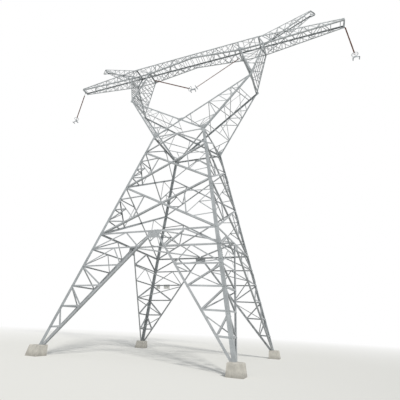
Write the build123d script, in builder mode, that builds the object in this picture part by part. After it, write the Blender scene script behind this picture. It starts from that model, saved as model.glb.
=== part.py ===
"""Single-circuit lattice pylon with a cup-shaped head: galvanised angle steel on four concrete footings.

Millimetres, +Z up, +X along the crossarm, origin on the ground at the middle of the base.
"""

from build123d import *
import math
import os

os.makedirs("parts", exist_ok=True)

# Heights above the ground
FOOTING_TOP = 450
LEVEL_3 = 6140
LEVEL_2 = 9530
LEVEL_1 = 12650
WAIST = 14230
ELBOW = 19690
ARM_BOTTOM = 23670
ARM_MID = 24350
ARM_TOP = 24900
ARM_TIP = 24420
PEAK_RISE = 2130
YOKE_DROP = 2870
RUNGS = (5200, 4220, 3170, 2170, 1215)

# Half widths along X, and half depths along Y
BASE_HALF = 5000
WAIST_HALF = 2150
ELBOW_X = 5820
ELBOW_Y = 1285
OUTER_X = 7050
OUTER_TOP_X = 6620
INNER_X = 4790
INNER_TOP_X = 4670
ARM_Y = 710
TIP_X = 13870
TIP_Y = 430
PEAK_X = 11450
PEAK_Y = 300
PEAK_REACH = 450
STAY_INSET = 270

# Angle sections: width of each leg of the angle, and its thickness
LEG = (180, 16)
MAIN = (110, 8)
BRACE = (80, 8)
CHORD = (125, 8)
ARM_CHORD = (110, 8)
LACE = (65, 8)
LACE_CHORD = (80, 8)

# Concrete, seats and bays
FOOTING_WIDTH = 590
FOOTING_TAPER = 6
FOOTING_CHAMFER = 25
SEAT = 0.3
LAP = 90
COPE = 110
RUN_ON = 60
ARM_BAYS = 8
CENTRE_BAYS = 8
PEAK_BAYS = 6
HUB_PLATE = 420
WAIST_PLATE = 200
ARM_PLATE = 260

# Beams that carry the strings
BEAM = 120
BEAM_PLATE = 12
BEAM_GAP = 2
TIP_DEPTH = 240
PEAK_DEPTH = 160
PEAK_LAP = 60
PEAK_DROP = 350
PEAK_PLATE = 16
WIRE_HOLE_R = 11
PIN_DROP = 60
PIN_R = 14
PIN_SIDES = 16
PIN_GAP = 0.45
PIN_END = 20
EAR = 16
EAR_GAP = 6

# Suspension strings
SIDES = 8
EYE_R = 34
EYE_WIDTH = 30
NECK = 150
LINK_R = 14
LINK = 120
SOCKET_R = 25
SOCKET = 130
ROD_R = 19
ROD_LENGTH = 3360
RING_R = 230
RING_TUBE = 40
RING_EDGE = 11
RING_SIDES = 16
RING_COLLAR = 9
RING_STRAP = 24
YOKE_WIDTH = 560
YOKE_TOP = 360
YOKE_HEIGHT = 180
YOKE_PLATE = 16
CLAMP_DROP = 110
CLAMP_SPACING = 450
CLAMP_LENGTH = 260
CLAMP_WIDTH = 56
CLAMP_HEIGHT = 76
CONDUCTOR_R = 15


class Bar:
    """One angle of a flat side, from start to end.

    The second leg of the angle stands on one edge, 1 or -1, and stops short of both ends by the cope.
    The light lacing is flat bar, with no second leg.
    A bar with an inner point is a chord: its heel lies on the line between the ends, its flat leg
    reaches towards the inner point, and both legs run on past the ends, to be cut there.
    """

    def __init__(self, start, end, section, edge=1, inner=None):
        self.start, self.end, self.section = start, end, section
        self.edge, self.inner = edge, inner
        self.run = (end - start).normalized()

    def across(self, plane):
        """Sideways in the plane: towards the second leg, or from the heel of a chord inwards."""
        way = plane.z_dir.cross(self.run)
        if self.inner is None:
            return way * self.edge
        return way if way.dot(self.inner - self.start) > 0 else way * -1

    def outline(self, plane, second_leg=False):
        """Corners of the flat leg in the plane, or of the strip that the second leg stands on."""
        width, thick = self.section
        depth = thick if second_leg else width
        across = self.across(plane)
        if self.inner is None:
            heel, inwards = across * (width / 2), across * -depth
            run_on = self.run * (-COPE if second_leg else 0)
        else:
            heel, inwards, run_on = Vector(), across * depth, self.run * RUN_ON
        start, end = self.start - run_on + heel, self.end + run_on + heel
        return [start, end, end + inwards, start + inwards]

    def stations(self, plane, steps):
        """Points along the middle line of a chord's flat leg, where other bars meet it."""
        offset = self.across(plane) * (self.section[0] / 2)
        return along(self.start + offset, self.end + offset, steps)


def point(x, y, z):
    return Vector(x, y, z)


def between(start, end, share):
    return start + (end - start) * share


def leg_half(height):
    """Half the spread of the legs at a height."""
    fall = (BASE_HALF - WAIST_HALF) / (WAIST - FOOTING_TOP)
    return BASE_HALF - fall * (height - FOOTING_TOP)


def corner(side, depth, height):
    """Where the outer corner line of a leg passes a height; side and depth are -1 or 1."""
    half = leg_half(height)
    return point(side * half, depth * half, height)


def plane_of(origin, along, third, inside):
    """A plane through three points, its Z towards the inside point."""
    normal = (along - origin).cross(third - origin).normalized()
    if normal.dot(inside - origin) < 0:
        normal = normal * -1
    return Plane(origin=origin, x_dir=along - origin, z_dir=normal)


def outline_on(plane, points):
    """A flat outline in a sketch on the plane, from points in space."""
    corners = [plane.to_local_coords(p) for p in points]
    Polygon(*[(p.X, p.Y) for p in corners], align=None)


def panel(plane, bars, cuts=(), plates=()):
    """One flat side of the lattice, with its angles fused where they cross.

    The plane's Z points into the structure. Plates are gussets: lists of points. Cuts are planes
    that keep what lies above them.
    """
    with BuildPart() as side:
        with BuildSketch(plane):
            for outline in [bar.outline(plane) for bar in bars] + list(plates):
                outline_on(plane, outline)
        extrude(amount=bars[0].section[1])
        for section in {bar.section for bar in bars} - {LACE}:
            with BuildSketch(plane):
                for bar in bars:
                    if bar.section == section:
                        outline_on(plane, bar.outline(plane, True))
            extrude(amount=section[0])
        for cut in cuts:
            split(bisect_by=cut, keep=Keep.TOP)
    return side.part


def seat_on(side, frame, chord, lap=LAP):
    """The plane inside a side where its lacing rests on the chord's second leg."""
    width, thick = chord.section
    lift = frame.z_dir.dot(frame.origin - chord.start)
    inner = chord.start + chord.across(frame) * thick - side.origin
    reach = [(inner + frame.z_dir * (lift + depth)).dot(side.z_dir) for depth in (lap, width)]
    return side.offset(max(reach) + SEAT)


def chain(points, section, edge=1):
    return [Bar(p, q, section, edge) for p, q in zip(points, points[1:])]


def zigzag(lower, upper, section, edge=1):
    """Bars that go to and fro between two lists of points."""
    path = []
    for a, b in zip(lower, upper):
        path += [a, b]
    return chain(path, section, edge)


def along(start, end, steps):
    return [between(start, end, share) for share in steps]


def turned(plane):
    """The same plane seen from its other side."""
    return Plane(origin=plane.origin, z_dir=plane.z_dir * -1)


def shares(first, last, count):
    return [first + (last - first) * i / (count - 1) for i in range(count)]


def far(near):
    return point(near.X, -near.Y, near.Z)


def far_plane(near):
    """The mirror image of a near plane, its Z still inwards."""
    normal = near.z_dir
    return Plane(origin=far(near.origin), z_dir=(normal.X, -normal.Y, normal.Z))


def rails(start, end, steps):
    """Zigzag points on a chord and on its mirror image on the far side."""
    near = along(start, end, steps[0::2])
    away = [far(p) for p in along(start, end, steps[1::2])]
    return near, away


def save(part, name):
    part.label = name
    export_step(part, f"parts/{name}.step")


CENTRE = point(0, 0, WAIST)
FACE_NAMES = (("near", 0), ("right", 90), ("far", 180), ("left", 270))
LEG_NAMES = (("near_left", 0), ("near_right", 90), ("far_right", 180), ("far_left", 270))

# The faces of the square body, and the planes their bracing lies on and stops at
near_face = plane_of(corner(-1, -1, LEVEL_3), corner(1, -1, LEVEL_3), corner(-1, -1, WAIST), CENTRE)
left_face = plane_of(corner(-1, -1, LEVEL_3), corner(-1, 1, LEVEL_3), corner(-1, -1, WAIST), CENTRE)
right_face = plane_of(corner(1, -1, LEVEL_3), corner(1, 1, LEVEL_3), corner(1, -1, WAIST), CENTRE)
far_face = plane_of(corner(-1, 1, LEVEL_3), corner(1, 1, LEVEL_3), corner(-1, 1, WAIST), CENTRE)
BRACING_DEPTH = LEG[1] + SEAT
CORNER_INSET = BRACING_DEPTH + MAIN[0] + SEAT
near_bracing = near_face.offset(BRACING_DEPTH)

# Footings
for name, turn in LEG_NAMES:
    with BuildPart() as footing:
        with BuildSketch() as base:
            with Locations(Rot(0, 0, turn) * Pos(-BASE_HALF, -BASE_HALF)):
                grow = 2 * FOOTING_TOP * math.tan(math.radians(FOOTING_TAPER))
                Rectangle(FOOTING_WIDTH + grow, FOOTING_WIDTH + grow)
        extrude(amount=FOOTING_TOP, taper=FOOTING_TAPER)
        chamfer(footing.faces().sort_by(Axis.Z)[-1].edges(), FOOTING_CHAMFER)
    save(footing.part, f"{name}_footing")

# Legs: one straight angle each, heel outwards
rise = corner(-1, -1, WAIST) - corner(-1, -1, FOOTING_TOP)
with BuildPart() as leg:
    with BuildSketch(Plane.XY.offset(FOOTING_TOP)):
        with Locations((-BASE_HALF, -BASE_HALF)):
            Rectangle(LEG[0], LEG[1], align=(Align.MIN, Align.MIN))
            Rectangle(LEG[1], LEG[0], align=(Align.MIN, Align.MIN))
    extrude(amount=rise.length, dir=rise.normalized())
for name, turn in LEG_NAMES:
    with BuildPart() as placed:
        add(leg.part, rotation=(0, 0, turn))
    save(placed.part, f"{name}_leg")

# Bracing of one leg: a flat truss on each outer face and zigzag lacing on the face between them
hub_near = point(0, -leg_half(LEVEL_3), LEVEL_3)
hub_left = point(-leg_half(LEVEL_3), 0, LEVEL_3)
foot_near = corner(-1, -1, FOOTING_TOP) + point(STAY_INSET, 0, 0)
foot_left = corner(-1, -1, FOOTING_TOP) + point(0, STAY_INSET, 0)


def stay_point(hub, foot, height):
    """Where the stay that runs from a hub to its foot passes a height."""
    return between(foot, hub, (height - FOOTING_TOP) / (LEVEL_3 - FOOTING_TOP))


near_stay = Bar(hub_near, foot_near, MAIN, 1, corner(-1, -1, LEVEL_3))


def on_stay(height):
    """Where a rung meets the stay of the near face."""
    return near_stay.stations(near_bracing, [(LEVEL_3 - height) / (LEVEL_3 - FOOTING_TOP)])[0]


def leg_truss():
    """The stay of the near face, the rungs from it to the leg, and what braces them."""
    top_mid = between(corner(-1, -1, LEVEL_3), hub_near, 0.5)
    rung_mid = between(corner(-1, -1, RUNGS[0]), on_stay(RUNGS[0]), 0.5)
    bars = [near_stay] + [Bar(corner(-1, -1, z), on_stay(z), BRACE, -1) for z in RUNGS]
    for upper, lower in zip(RUNGS[1:], RUNGS[2:]):
        bars.append(Bar(corner(-1, -1, upper), on_stay(lower), BRACE))
    bars += [Bar(top_mid, corner(-1, -1, RUNGS[0]), BRACE), Bar(top_mid, on_stay(RUNGS[0]), BRACE)]
    bars += [Bar(rung_mid, corner(-1, -1, RUNGS[1]), LACE), Bar(rung_mid, on_stay(RUNGS[1]), LACE)]
    return bars


down_face = (corner(-1, -1, FOOTING_TOP) - corner(-1, -1, LEVEL_3)).normalized()
down_face = (down_face - point(1, 0, 0) * down_face.X).normalized()
level_3_cut = Plane(origin=hub_near + down_face * (MAIN[0] / 2 + SEAT), z_dir=down_face)
footing_cut = Plane.XY.offset(FOOTING_TOP + SEAT)
left_half = Plane(origin=(-SEAT / 2, 0, 0), z_dir=(-1, 0, 0))
corner_cut = left_face.offset(CORNER_INSET)
hub_plate = [hub_near, hub_near - point(HUB_PLATE, 0, 0)]
hub_plate.append(stay_point(hub_near, foot_near, LEVEL_3 - HUB_PLATE))
hub_plate.append(hub_near + down_face * HUB_PLATE)
truss_cuts = (level_3_cut, footing_cut, left_half, corner_cut)
near_truss = panel(near_bracing, leg_truss(), truss_cuts, [hub_plate])
ends = ((hub_near, foot_near), (hub_left, foot_left))
stay_points = [stay_point(*ends[i % 2], height) for i, height in enumerate(RUNGS)]
stay_face = plane_of(hub_near, hub_left, foot_near, corner(-1, -1, LEVEL_3))
lacing_bars = chain(stay_points, LACE)
inner_cuts = [face.offset(BRACING_DEPTH + LAP) for face in (near_face, left_face)]
inner_lacing = panel(seat_on(stay_face, near_bracing, near_stay), lacing_bars, inner_cuts)
left_truss = mirror(near_truss, about=Plane((0, 0, 0), z_dir=(1, -1, 0)))
for name, turn in LEG_NAMES:
    with BuildPart() as placed:
        add([near_truss, left_truss, inner_lacing], rotation=(0, 0, turn))
    save(placed.part, f"{name}_leg_bracing")

# Body faces from level 3 to the waist
bars = [Bar(corner(-1, -1, LEVEL_3), corner(1, -1, LEVEL_3), MAIN, -1)]
for low, high in ((LEVEL_3, LEVEL_2), (LEVEL_2, LEVEL_1)):
    bars.append(Bar(corner(-1, -1, low), corner(1, -1, high), MAIN))
    bars.append(Bar(corner(1, -1, low), corner(-1, -1, high), MAIN, -1))
waist_beam = Bar(corner(-1, -1, WAIST), corner(1, -1, WAIST), MAIN, 1, corner(-1, -1, LEVEL_1))
waist_mid = waist_beam.stations(near_bracing, [0.5])[0]
bars.append(Bar(corner(-1, -1, LEVEL_1), waist_mid, BRACE))
bars.append(Bar(corner(1, -1, LEVEL_1), waist_mid, BRACE, -1))
bars.append(waist_beam)
body_cuts = (left_face.offset(CORNER_INSET), right_face.offset(CORNER_INSET))
waist_plate = [waist_mid - point(WAIST_PLATE, 0, 0), waist_mid + point(WAIST_PLATE, 0, 0)]
waist_plate += [between(waist_mid, corner(side, -1, LEVEL_1), 0.12) for side in (1, -1)]
body_panel = panel(near_bracing, bars, body_cuts, [waist_plate])
for name, turn in FACE_NAMES:
    with BuildPart() as placed:
        add(body_panel, rotation=(0, 0, turn))
    save(placed.part, f"{name}_face_bracing")

# Plan bracing at level 3 and at the waist
faces = (near_face, left_face, right_face, far_face)
half_3 = leg_half(LEVEL_3)
hubs = [point(x, y, LEVEL_3) for x, y in ((0, -half_3), (half_3, 0), (0, half_3), (-half_3, 0))]
plan_bars = [Bar(a, b, BRACE) for a, b in zip(hubs, hubs[1:] + hubs[:1])]
plan_bars += [Bar(hubs[0], hubs[2], BRACE), Bar(hubs[1], hubs[3], BRACE)]
beam_top = hub_near - down_face * (MAIN[0] / 2) + near_face.z_dir * (BRACING_DEPTH + LAP)
plan_cuts = [face.offset(BRACING_DEPTH + LAP) for face in faces]
save(panel(Plane.XY.offset(beam_top.Z + SEAT), plan_bars, plan_cuts), "level_3_plan_bracing")
waist_bars = [
    Bar(corner(-1, -1, WAIST), corner(1, 1, WAIST), BRACE),
    Bar(corner(1, -1, WAIST), corner(-1, 1, WAIST), BRACE),
]
waist_cuts = [face.offset(BRACING_DEPTH) for face in faces]
save(panel(Plane.XY.offset(WAIST - 2 * MAIN[0]), waist_bars, waist_cuts), "waist_plan_bracing")

# The head: flat frames near and far, joined by lacing on the sides between them
waist_left, waist_right = corner(-1, -1, WAIST), corner(1, -1, WAIST)
elbow_left, elbow_right = point(-ELBOW_X, -ELBOW_Y, ELBOW), point(ELBOW_X, -ELBOW_Y, ELBOW)
outer_low, outer_high = point(-OUTER_X, -ARM_Y, ARM_BOTTOM), point(-OUTER_TOP_X, -ARM_Y, ARM_TOP)
inner_low, inner_high = point(-INNER_X, -ARM_Y, ARM_BOTTOM), point(-INNER_TOP_X, -ARM_Y, ARM_TOP)
tip_low = point(-TIP_X, -TIP_Y, ARM_TIP - TIP_DEPTH / 2)
tip_high = point(-TIP_X, -TIP_Y, ARM_TIP + TIP_DEPTH / 2)
crossing = between(elbow_left, waist_right, ELBOW_X / (ELBOW_X + WAIST_HALF))

lower_face = plane_of(waist_left, waist_right, elbow_left, CENTRE)
upper_face = plane_of(elbow_left, elbow_right, outer_low, CENTRE)

# Lower arms: their inner chords cross and run on to the opposite waist corner
above_waist = Plane.XY.offset(WAIST + SEAT)
below_elbow = turned(Plane.XY.offset(ELBOW))
lower_outer = Bar(waist_left, elbow_left, CHORD, 1, crossing)
lower_inner = Bar(elbow_left, waist_right, CHORD, 1, waist_left)
lower_cross = Bar(elbow_right, waist_left, CHORD, 1, waist_right)
outer_points = lower_outer.stations(lower_face, (0.235, 0.47, 0.593, 0.71))
inner_points = lower_inner.stations(lower_face, (0.452, 0.354, 0.25, 0.156))
cross_points = lower_cross.stations(lower_face, (0.87, 0.95))
lower_bars = [lower_outer, lower_inner, lower_cross] + zigzag(outer_points, inner_points, LACE)
lower_bars += chain(lower_inner.stations(lower_face, [0.638]) + [cross_points[0], outer_points[0]], LACE)
strut_top = between(cross_points[0], outer_points[0], 0.54)
lower_bars += chain([strut_top, cross_points[1], *lower_outer.stations(lower_face, [0.11])], LACE)
lower_plates = [
    lower_outer.stations(lower_face, (0.88, 1)) + lower_inner.stations(lower_face, (0, 0.09)),
    [
        between(crossing, p, ARM_PLATE / (p - crossing).length)
        for p in (waist_left, elbow_left, elbow_right, waist_right)
    ],
]
lower_frame = panel(lower_face, lower_bars, (above_waist, left_half, below_elbow), lower_plates)
lower_outer_side = plane_of(waist_left, far(waist_left), elbow_left, crossing)
lower_inner_side = plane_of(crossing, far(crossing), elbow_left, waist_left)
ends = (lower_face.offset(LAP), far_plane(lower_face).offset(LAP))
lower_outer_lacing = panel(
    seat_on(lower_outer_side, lower_face, lower_outer),
    zigzag(*rails(waist_left, elbow_left, shares(0.06, 0.88, 6)), LACE),
    ends,
)
lower_inner_lacing = panel(
    seat_on(lower_inner_side, lower_face, lower_inner),
    zigzag(*rails(crossing, elbow_left, shares(0.06, 0.86, 6)), LACE),
    ends,
)

# Upper arms: from each elbow an outer and an inner chord to the crossarm, and a strut across the elbows
above_elbow = Plane.XY.offset(ELBOW + SEAT)
below_arm = turned(Plane.XY.offset(ARM_BOTTOM - SEAT))
upper_outer = Bar(elbow_left, outer_low, ARM_CHORD, 1, inner_low)
upper_inner = Bar(elbow_left, inner_low, ARM_CHORD, 1, outer_low)
upper_bars = [upper_outer, upper_inner]
outer_points = upper_outer.stations(upper_face, (0.3, 0.55, 0.8))
inner_points = upper_inner.stations(upper_face, (0.42, 0.68, 0.93))
upper_bars += zigzag(outer_points, inner_points, LACE)
elbow_plate = upper_outer.stations(upper_face, (0.07, 0)) + upper_inner.stations(upper_face, (0, 0.07))
elbow_plate.insert(2, elbow_left + point(ARM_PLATE / 2, 0, 0))
upper_frame = panel(upper_face, upper_bars, (above_elbow, below_arm), [elbow_plate])
upper_outer_side = plane_of(elbow_left, far(elbow_left), outer_low, inner_low)
upper_inner_side = plane_of(elbow_left, far(elbow_left), inner_low, outer_low)
ends = (upper_face.offset(LAP), far_plane(upper_face).offset(LAP))
upper_outer_lacing = panel(
    seat_on(upper_outer_side, upper_face, upper_outer),
    zigzag(*rails(elbow_left, outer_low, shares(0.12, 0.92, 5)), LACE),
    ends,
)
upper_inner_lacing = panel(
    seat_on(upper_inner_side, upper_face, upper_inner),
    zigzag(*rails(elbow_left, inner_low, shares(0.12, 0.92, 5)), LACE),
    ends,
)
strut_start = elbow_left + point(MAIN[0], 0, SEAT)
elbow_strut = panel(
    Plane.XY.offset(ELBOW + SEAT),
    [Bar(strut_start, far(strut_start), MAIN, -1)],
    [face.offset(ARM_CHORD[1] + SEAT) for face in (upper_face, far_plane(upper_face))],
)

# Crossarm between the arms
arm_face = plane_of(outer_low, point(OUTER_X, -ARM_Y, ARM_BOTTOM), inner_high, point(0, 0, ARM_TOP))
mid_low, mid_high = point(0, -ARM_Y, ARM_MID), point(0, -ARM_Y, ARM_TOP)
arm_bottom = Bar(outer_low, inner_low, ARM_CHORD, 1, inner_high)
arm_rise = Bar(inner_low, mid_low, ARM_CHORD, 1, mid_high)
arm_top = Bar(outer_high, mid_high, ARM_CHORD, 1, mid_low)
post = Bar(outer_high, outer_low, ARM_CHORD, 1, inner_low)
half_bars = [arm_bottom, arm_rise, arm_top, post]
half_bars += [Bar(inner_low, inner_high, LACE), Bar(outer_low, inner_high, LACE)]
half_bars += [Bar(inner_low, outer_high, LACE, -1), Bar(mid_low, mid_high, LACE)]
centre_low = arm_rise.stations(arm_face, shares(0.03, 0.86, CENTRE_BAYS // 2))
centre_high = arm_top.stations(arm_face, shares(1 - 0.86 * INNER_TOP_X / OUTER_TOP_X, 1, CENTRE_BAYS // 2))
half_bars += zigzag(centre_low, centre_high, LACE)
post_side = plane_of(outer_low, far(outer_low), outer_high, tip_low)
arm_cuts = (left_half, Plane.XY.offset(ARM_BOTTOM), turned(post_side), turned(Plane.XY.offset(ARM_TOP)))
arm_plates = [[
    *arm_bottom.stations(arm_face, (0.8, 1)),
    *arm_rise.stations(arm_face, (0, 0.09)),
    between(inner_low, inner_high, 0.35),
]]
arm_half = panel(arm_face, half_bars, arm_cuts, arm_plates)
bottom_side = plane_of(outer_low, far(outer_low), inner_low, point(-INNER_X, 0, ARM_TOP))
rise_side = plane_of(inner_low, far(inner_low), mid_low, point(-INNER_X, 0, ARM_TOP))
top_side = plane_of(outer_high, far(outer_high), mid_high, point(-INNER_X, 0, ARM_BOTTOM))
ends = (arm_face.offset(LAP), far_plane(arm_face).offset(LAP), left_half)
bottom_lacing = panel(
    seat_on(bottom_side, arm_face, arm_bottom),
    zigzag(*rails(outer_low, inner_low, (0.12, 0.5, 0.88)), LACE),
    ends,
)
rise_lacing = panel(
    seat_on(rise_side, arm_face, arm_rise),
    zigzag(*rails(inner_low, mid_low, shares(0.06, 0.94, 5)), LACE),
    ends,
)
top_lacing = panel(
    seat_on(top_side, arm_face, arm_top),
    zigzag(*rails(outer_high, mid_high, shares(0.07, 0.95, 7)), LACE),
    ends,
)
post_bars = [
    Bar(outer_low, far(outer_low), MAIN, 1, outer_high),
    Bar(outer_high, far(outer_high), MAIN, 1, outer_low),
    Bar(outer_low, far(outer_high), LACE),
    Bar(outer_high, far(outer_low), LACE),
]
post_cuts = [face.offset(ARM_CHORD[0] + SEAT) for face in (arm_face, far_plane(arm_face))]
post_ties = panel(turned(post_side), post_bars, post_cuts)

# Crossarm ends, tapering to the tips
end_face = plane_of(outer_low, tip_low, outer_high, point(-OUTER_X, 0, ARM_BOTTOM))
end_bottom = Bar(outer_low, tip_low, ARM_CHORD, 1, outer_high)
end_top = Bar(outer_high, tip_high, ARM_CHORD, 1, outer_low)
end_bars = [end_bottom, end_top]
end_bars += zigzag(
    end_top.stations(end_face, shares(0.04, 0.84, ARM_BAYS)),
    end_bottom.stations(end_face, shares(0.1, 0.9, ARM_BAYS)),
    LACE,
)
tip_cut = Plane(origin=(-TIP_X, 0, 0), z_dir=(1, 0, 0))
end_cuts = (post_side.offset(SEAT), Plane.XY.offset(ARM_BOTTOM), tip_cut.offset(SEAT))
end_frame = panel(end_face, end_bars, end_cuts)
end_bottom_side = plane_of(outer_low, far(outer_low), tip_low, point(-OUTER_X, 0, ARM_TOP))
end_top_side = plane_of(outer_high, far(outer_high), tip_high, point(-OUTER_X, 0, ARM_BOTTOM))
ends = (end_face.offset(LAP), far_plane(end_face).offset(LAP), post_side.offset(SEAT), tip_cut.offset(SEAT))
end_bottom_lacing = panel(
    seat_on(end_bottom_side, end_face, end_bottom),
    zigzag(*rails(outer_low, tip_low, shares(0.03, 0.95, ARM_BAYS + 1)), LACE),
    ends,
)
end_top_lacing = panel(
    seat_on(end_top_side, end_face, end_top),
    zigzag(*rails(outer_high, tip_high, shares(0.34, 0.95, ARM_BAYS - 1)), LACE),
    ends,
)

# Ground-wire peaks, inside the crossarm frames at the root, with an arm for the wire at the tip
peak_root = point(0, ARM_CHORD[0] + SEAT, 0)
peak_low, peak_high = outer_low + peak_root, outer_high + peak_root
peak_top = point(-PEAK_X, -PEAK_Y, ARM_TOP + PEAK_RISE)
peak_bottom = peak_top - point(0, 0, PEAK_DEPTH)
peak_face = plane_of(peak_low, peak_top, peak_high, point(-OUTER_X, 0, ARM_BOTTOM))
peak_lower = Bar(peak_low, peak_bottom, LACE_CHORD, 1, peak_high)
peak_upper = Bar(peak_high, peak_top, LACE_CHORD, 1, peak_low)
peak_bars = [peak_lower, peak_upper] + zigzag(
    peak_upper.stations(peak_face, shares(0.05, 0.85, PEAK_BAYS)),
    peak_lower.stations(peak_face, shares(0.12, 0.92, PEAK_BAYS)),
    LACE,
)
peak_end = Plane(origin=(-PEAK_X + SEAT, 0, 0), z_dir=(1, 0, 0))
peak_frame = panel(peak_face, peak_bars, (post_side.offset(SEAT), end_bottom_side.offset(LAP), peak_end))
peak_lower_side = plane_of(peak_low, far(peak_low), peak_bottom, peak_high)
peak_upper_side = plane_of(peak_high, far(peak_high), peak_top, peak_low)
ends = (peak_face.offset(PEAK_LAP), far_plane(peak_face).offset(PEAK_LAP), peak_end)
peak_lower_lacing = panel(
    seat_on(peak_lower_side, peak_face, peak_lower, PEAK_LAP),
    zigzag(*rails(peak_low, peak_bottom, shares(0.5, 0.95, PEAK_BAYS)), LACE),
    ends,
)
peak_upper_lacing = panel(
    seat_on(peak_upper_side, peak_face, peak_upper, PEAK_LAP),
    zigzag(*rails(peak_high, peak_top, shares(0.1, 0.95, PEAK_BAYS + 1)), LACE),
    ends,
)
with BuildPart() as wire_arm:
    with BuildSketch(Plane.YZ.offset(-PEAK_X)):
        with Locations((0, peak_top.Z)):
            Rectangle(2 * PEAK_Y, PEAK_DEPTH + LACE_CHORD[0], align=(Align.CENTER, Align.MAX))
    extrude(amount=-BEAM_PLATE)
    with BuildSketch(Plane(origin=(-PEAK_X, 0, peak_top.Z), x_dir=(-1, 0, 0), z_dir=(0, 1, 0))):
        with BuildLine():
            Polyline(
                (0, 0),
                (0, -PEAK_DEPTH - LACE_CHORD[0]),
                (PEAK_REACH - EYE_R, -PEAK_DROP - EYE_R),
                (PEAK_REACH, -PEAK_DROP),
                (PEAK_REACH, -PEAK_DROP + EYE_R),
                close=True,
            )
        make_face()
        with Locations((PEAK_REACH - EYE_R, -PEAK_DROP)):
            Circle(WIRE_HOLE_R, mode=Mode.SUBTRACT)
    extrude(amount=PEAK_PLATE / 2, both=True)


def hanger(plane):
    """Two ears with a pin across them, below a beam; the plane's Z is the pin and its Y is up."""
    with BuildPart() as piece:
        for side in (-1, 1):
            with BuildSketch(plane.offset(side * (EYE_WIDTH + EAR) / 2 + side * EAR_GAP)):
                RegularPolygon(EYE_R, SIDES)
                with Locations((0, PIN_DROP / 2)):
                    Rectangle(2 * EYE_R, PIN_DROP)
            extrude(amount=EAR / 2, both=True)
        with BuildSketch(plane):
            RegularPolygon(PIN_R, PIN_SIDES)
        extrude(amount=EYE_WIDTH / 2 + EAR_GAP + EAR + PIN_END, both=True)
    return piece.part


def round_bar(start, end, radius):
    with BuildPart() as bar:
        with BuildSketch(Plane(origin=start, z_dir=end - start)):
            RegularPolygon(radius, SIDES)
        extrude(amount=(end - start).length)
    return bar.part


def eye(plane):
    """The eye that hangs on the pin, and its neck down to the first link."""
    with BuildPart() as piece:
        with BuildSketch(plane):
            RegularPolygon(EYE_R, SIDES)
            with Locations((0, -NECK / 2)):
                Rectangle(EYE_WIDTH, NECK)
            RegularPolygon(PIN_R + PIN_GAP, PIN_SIDES, mode=Mode.SUBTRACT)
        extrude(amount=EYE_WIDTH / 2, both=True)
    return piece.part


def ring(start, end):
    """Grading ring about the lower socket, which runs from start to end."""
    run = (end - start).normalized()
    middle = Plane(origin=between(start, end, 0.5), x_dir=(0, 1, 0), z_dir=run)
    with BuildPart() as piece:
        with BuildSketch(middle.offset(-RING_TUBE / 2)):
            RegularPolygon(RING_R + RING_TUBE / 2, RING_SIDES)
            RegularPolygon(RING_R - RING_TUBE / 2, RING_SIDES, mode=Mode.SUBTRACT)
        extrude(amount=RING_TUBE)
        flats = piece.faces().filter_by(lambda face: abs(face.normal_at().dot(run)) > 0.99)
        chamfer(flats.edges(), RING_EDGE)
        with BuildSketch(middle.offset(-RING_STRAP / 2)):
            Rectangle(2 * RING_R, RING_STRAP)
            RegularPolygon(SOCKET_R + SEAT + RING_COLLAR, SIDES)
            RegularPolygon(SOCKET_R + SEAT, SIDES, mode=Mode.SUBTRACT)
        extrude(amount=RING_STRAP)
    return piece.part


def yoke(middle, top_width):
    """Yoke plate below a point, with two clamps for the conductors."""
    top, half = top_width / 2, YOKE_WIDTH / 2
    with BuildPart() as piece:
        with BuildSketch(Plane(origin=middle, x_dir=(1, 0, 0), z_dir=(0, -1, 0))):
            with BuildLine():
                Polyline((-top, 0), (top, 0), (half, -YOKE_HEIGHT), (-half, -YOKE_HEIGHT), close=True)
            make_face()
        extrude(amount=YOKE_PLATE / 2, both=True)
        for side in (-1, 1):
            hung = middle + point(side * CLAMP_SPACING / 2, 0, -YOKE_HEIGHT)
            held = hung - point(0, 0, CLAMP_DROP)
            add(round_bar(hung + point(0, 0, EYE_R), held + point(0, 0, CLAMP_HEIGHT / 2 - LINK_R), LINK_R))
            with BuildSketch(Plane(origin=held, x_dir=(1, 0, 0), z_dir=(0, -1, 0))):
                Rectangle(CLAMP_WIDTH, CLAMP_HEIGHT)
                Circle(CONDUCTOR_R, mode=Mode.SUBTRACT)
            extrude(amount=CLAMP_LENGTH / 2, both=True)
    return piece.part


def string_parts(top, bottom, rod_length):
    """Rod, fittings and ring of one string between two points; the fittings fill what the rod leaves."""
    run = (bottom - top).normalized()
    link = ((bottom - top).length - rod_length - 2 * SOCKET - 2 * SEAT) / 2
    marks = [0, link, link + SOCKET]
    marks += [marks[-1] + SEAT, marks[-1] + SEAT + rod_length, marks[-1] + 2 * SEAT + rod_length]
    marks += [marks[-1] + SOCKET, (bottom - top).length]
    at = [top + run * mark for mark in marks]
    upper = round_bar(at[0], at[1], LINK_R) + round_bar(at[1], at[2], SOCKET_R)
    lower = round_bar(at[5], at[6], SOCKET_R) + round_bar(at[6], at[7], LINK_R)
    return round_bar(at[3], at[4], ROD_R), upper, lower, ring(at[5], at[6])


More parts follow.
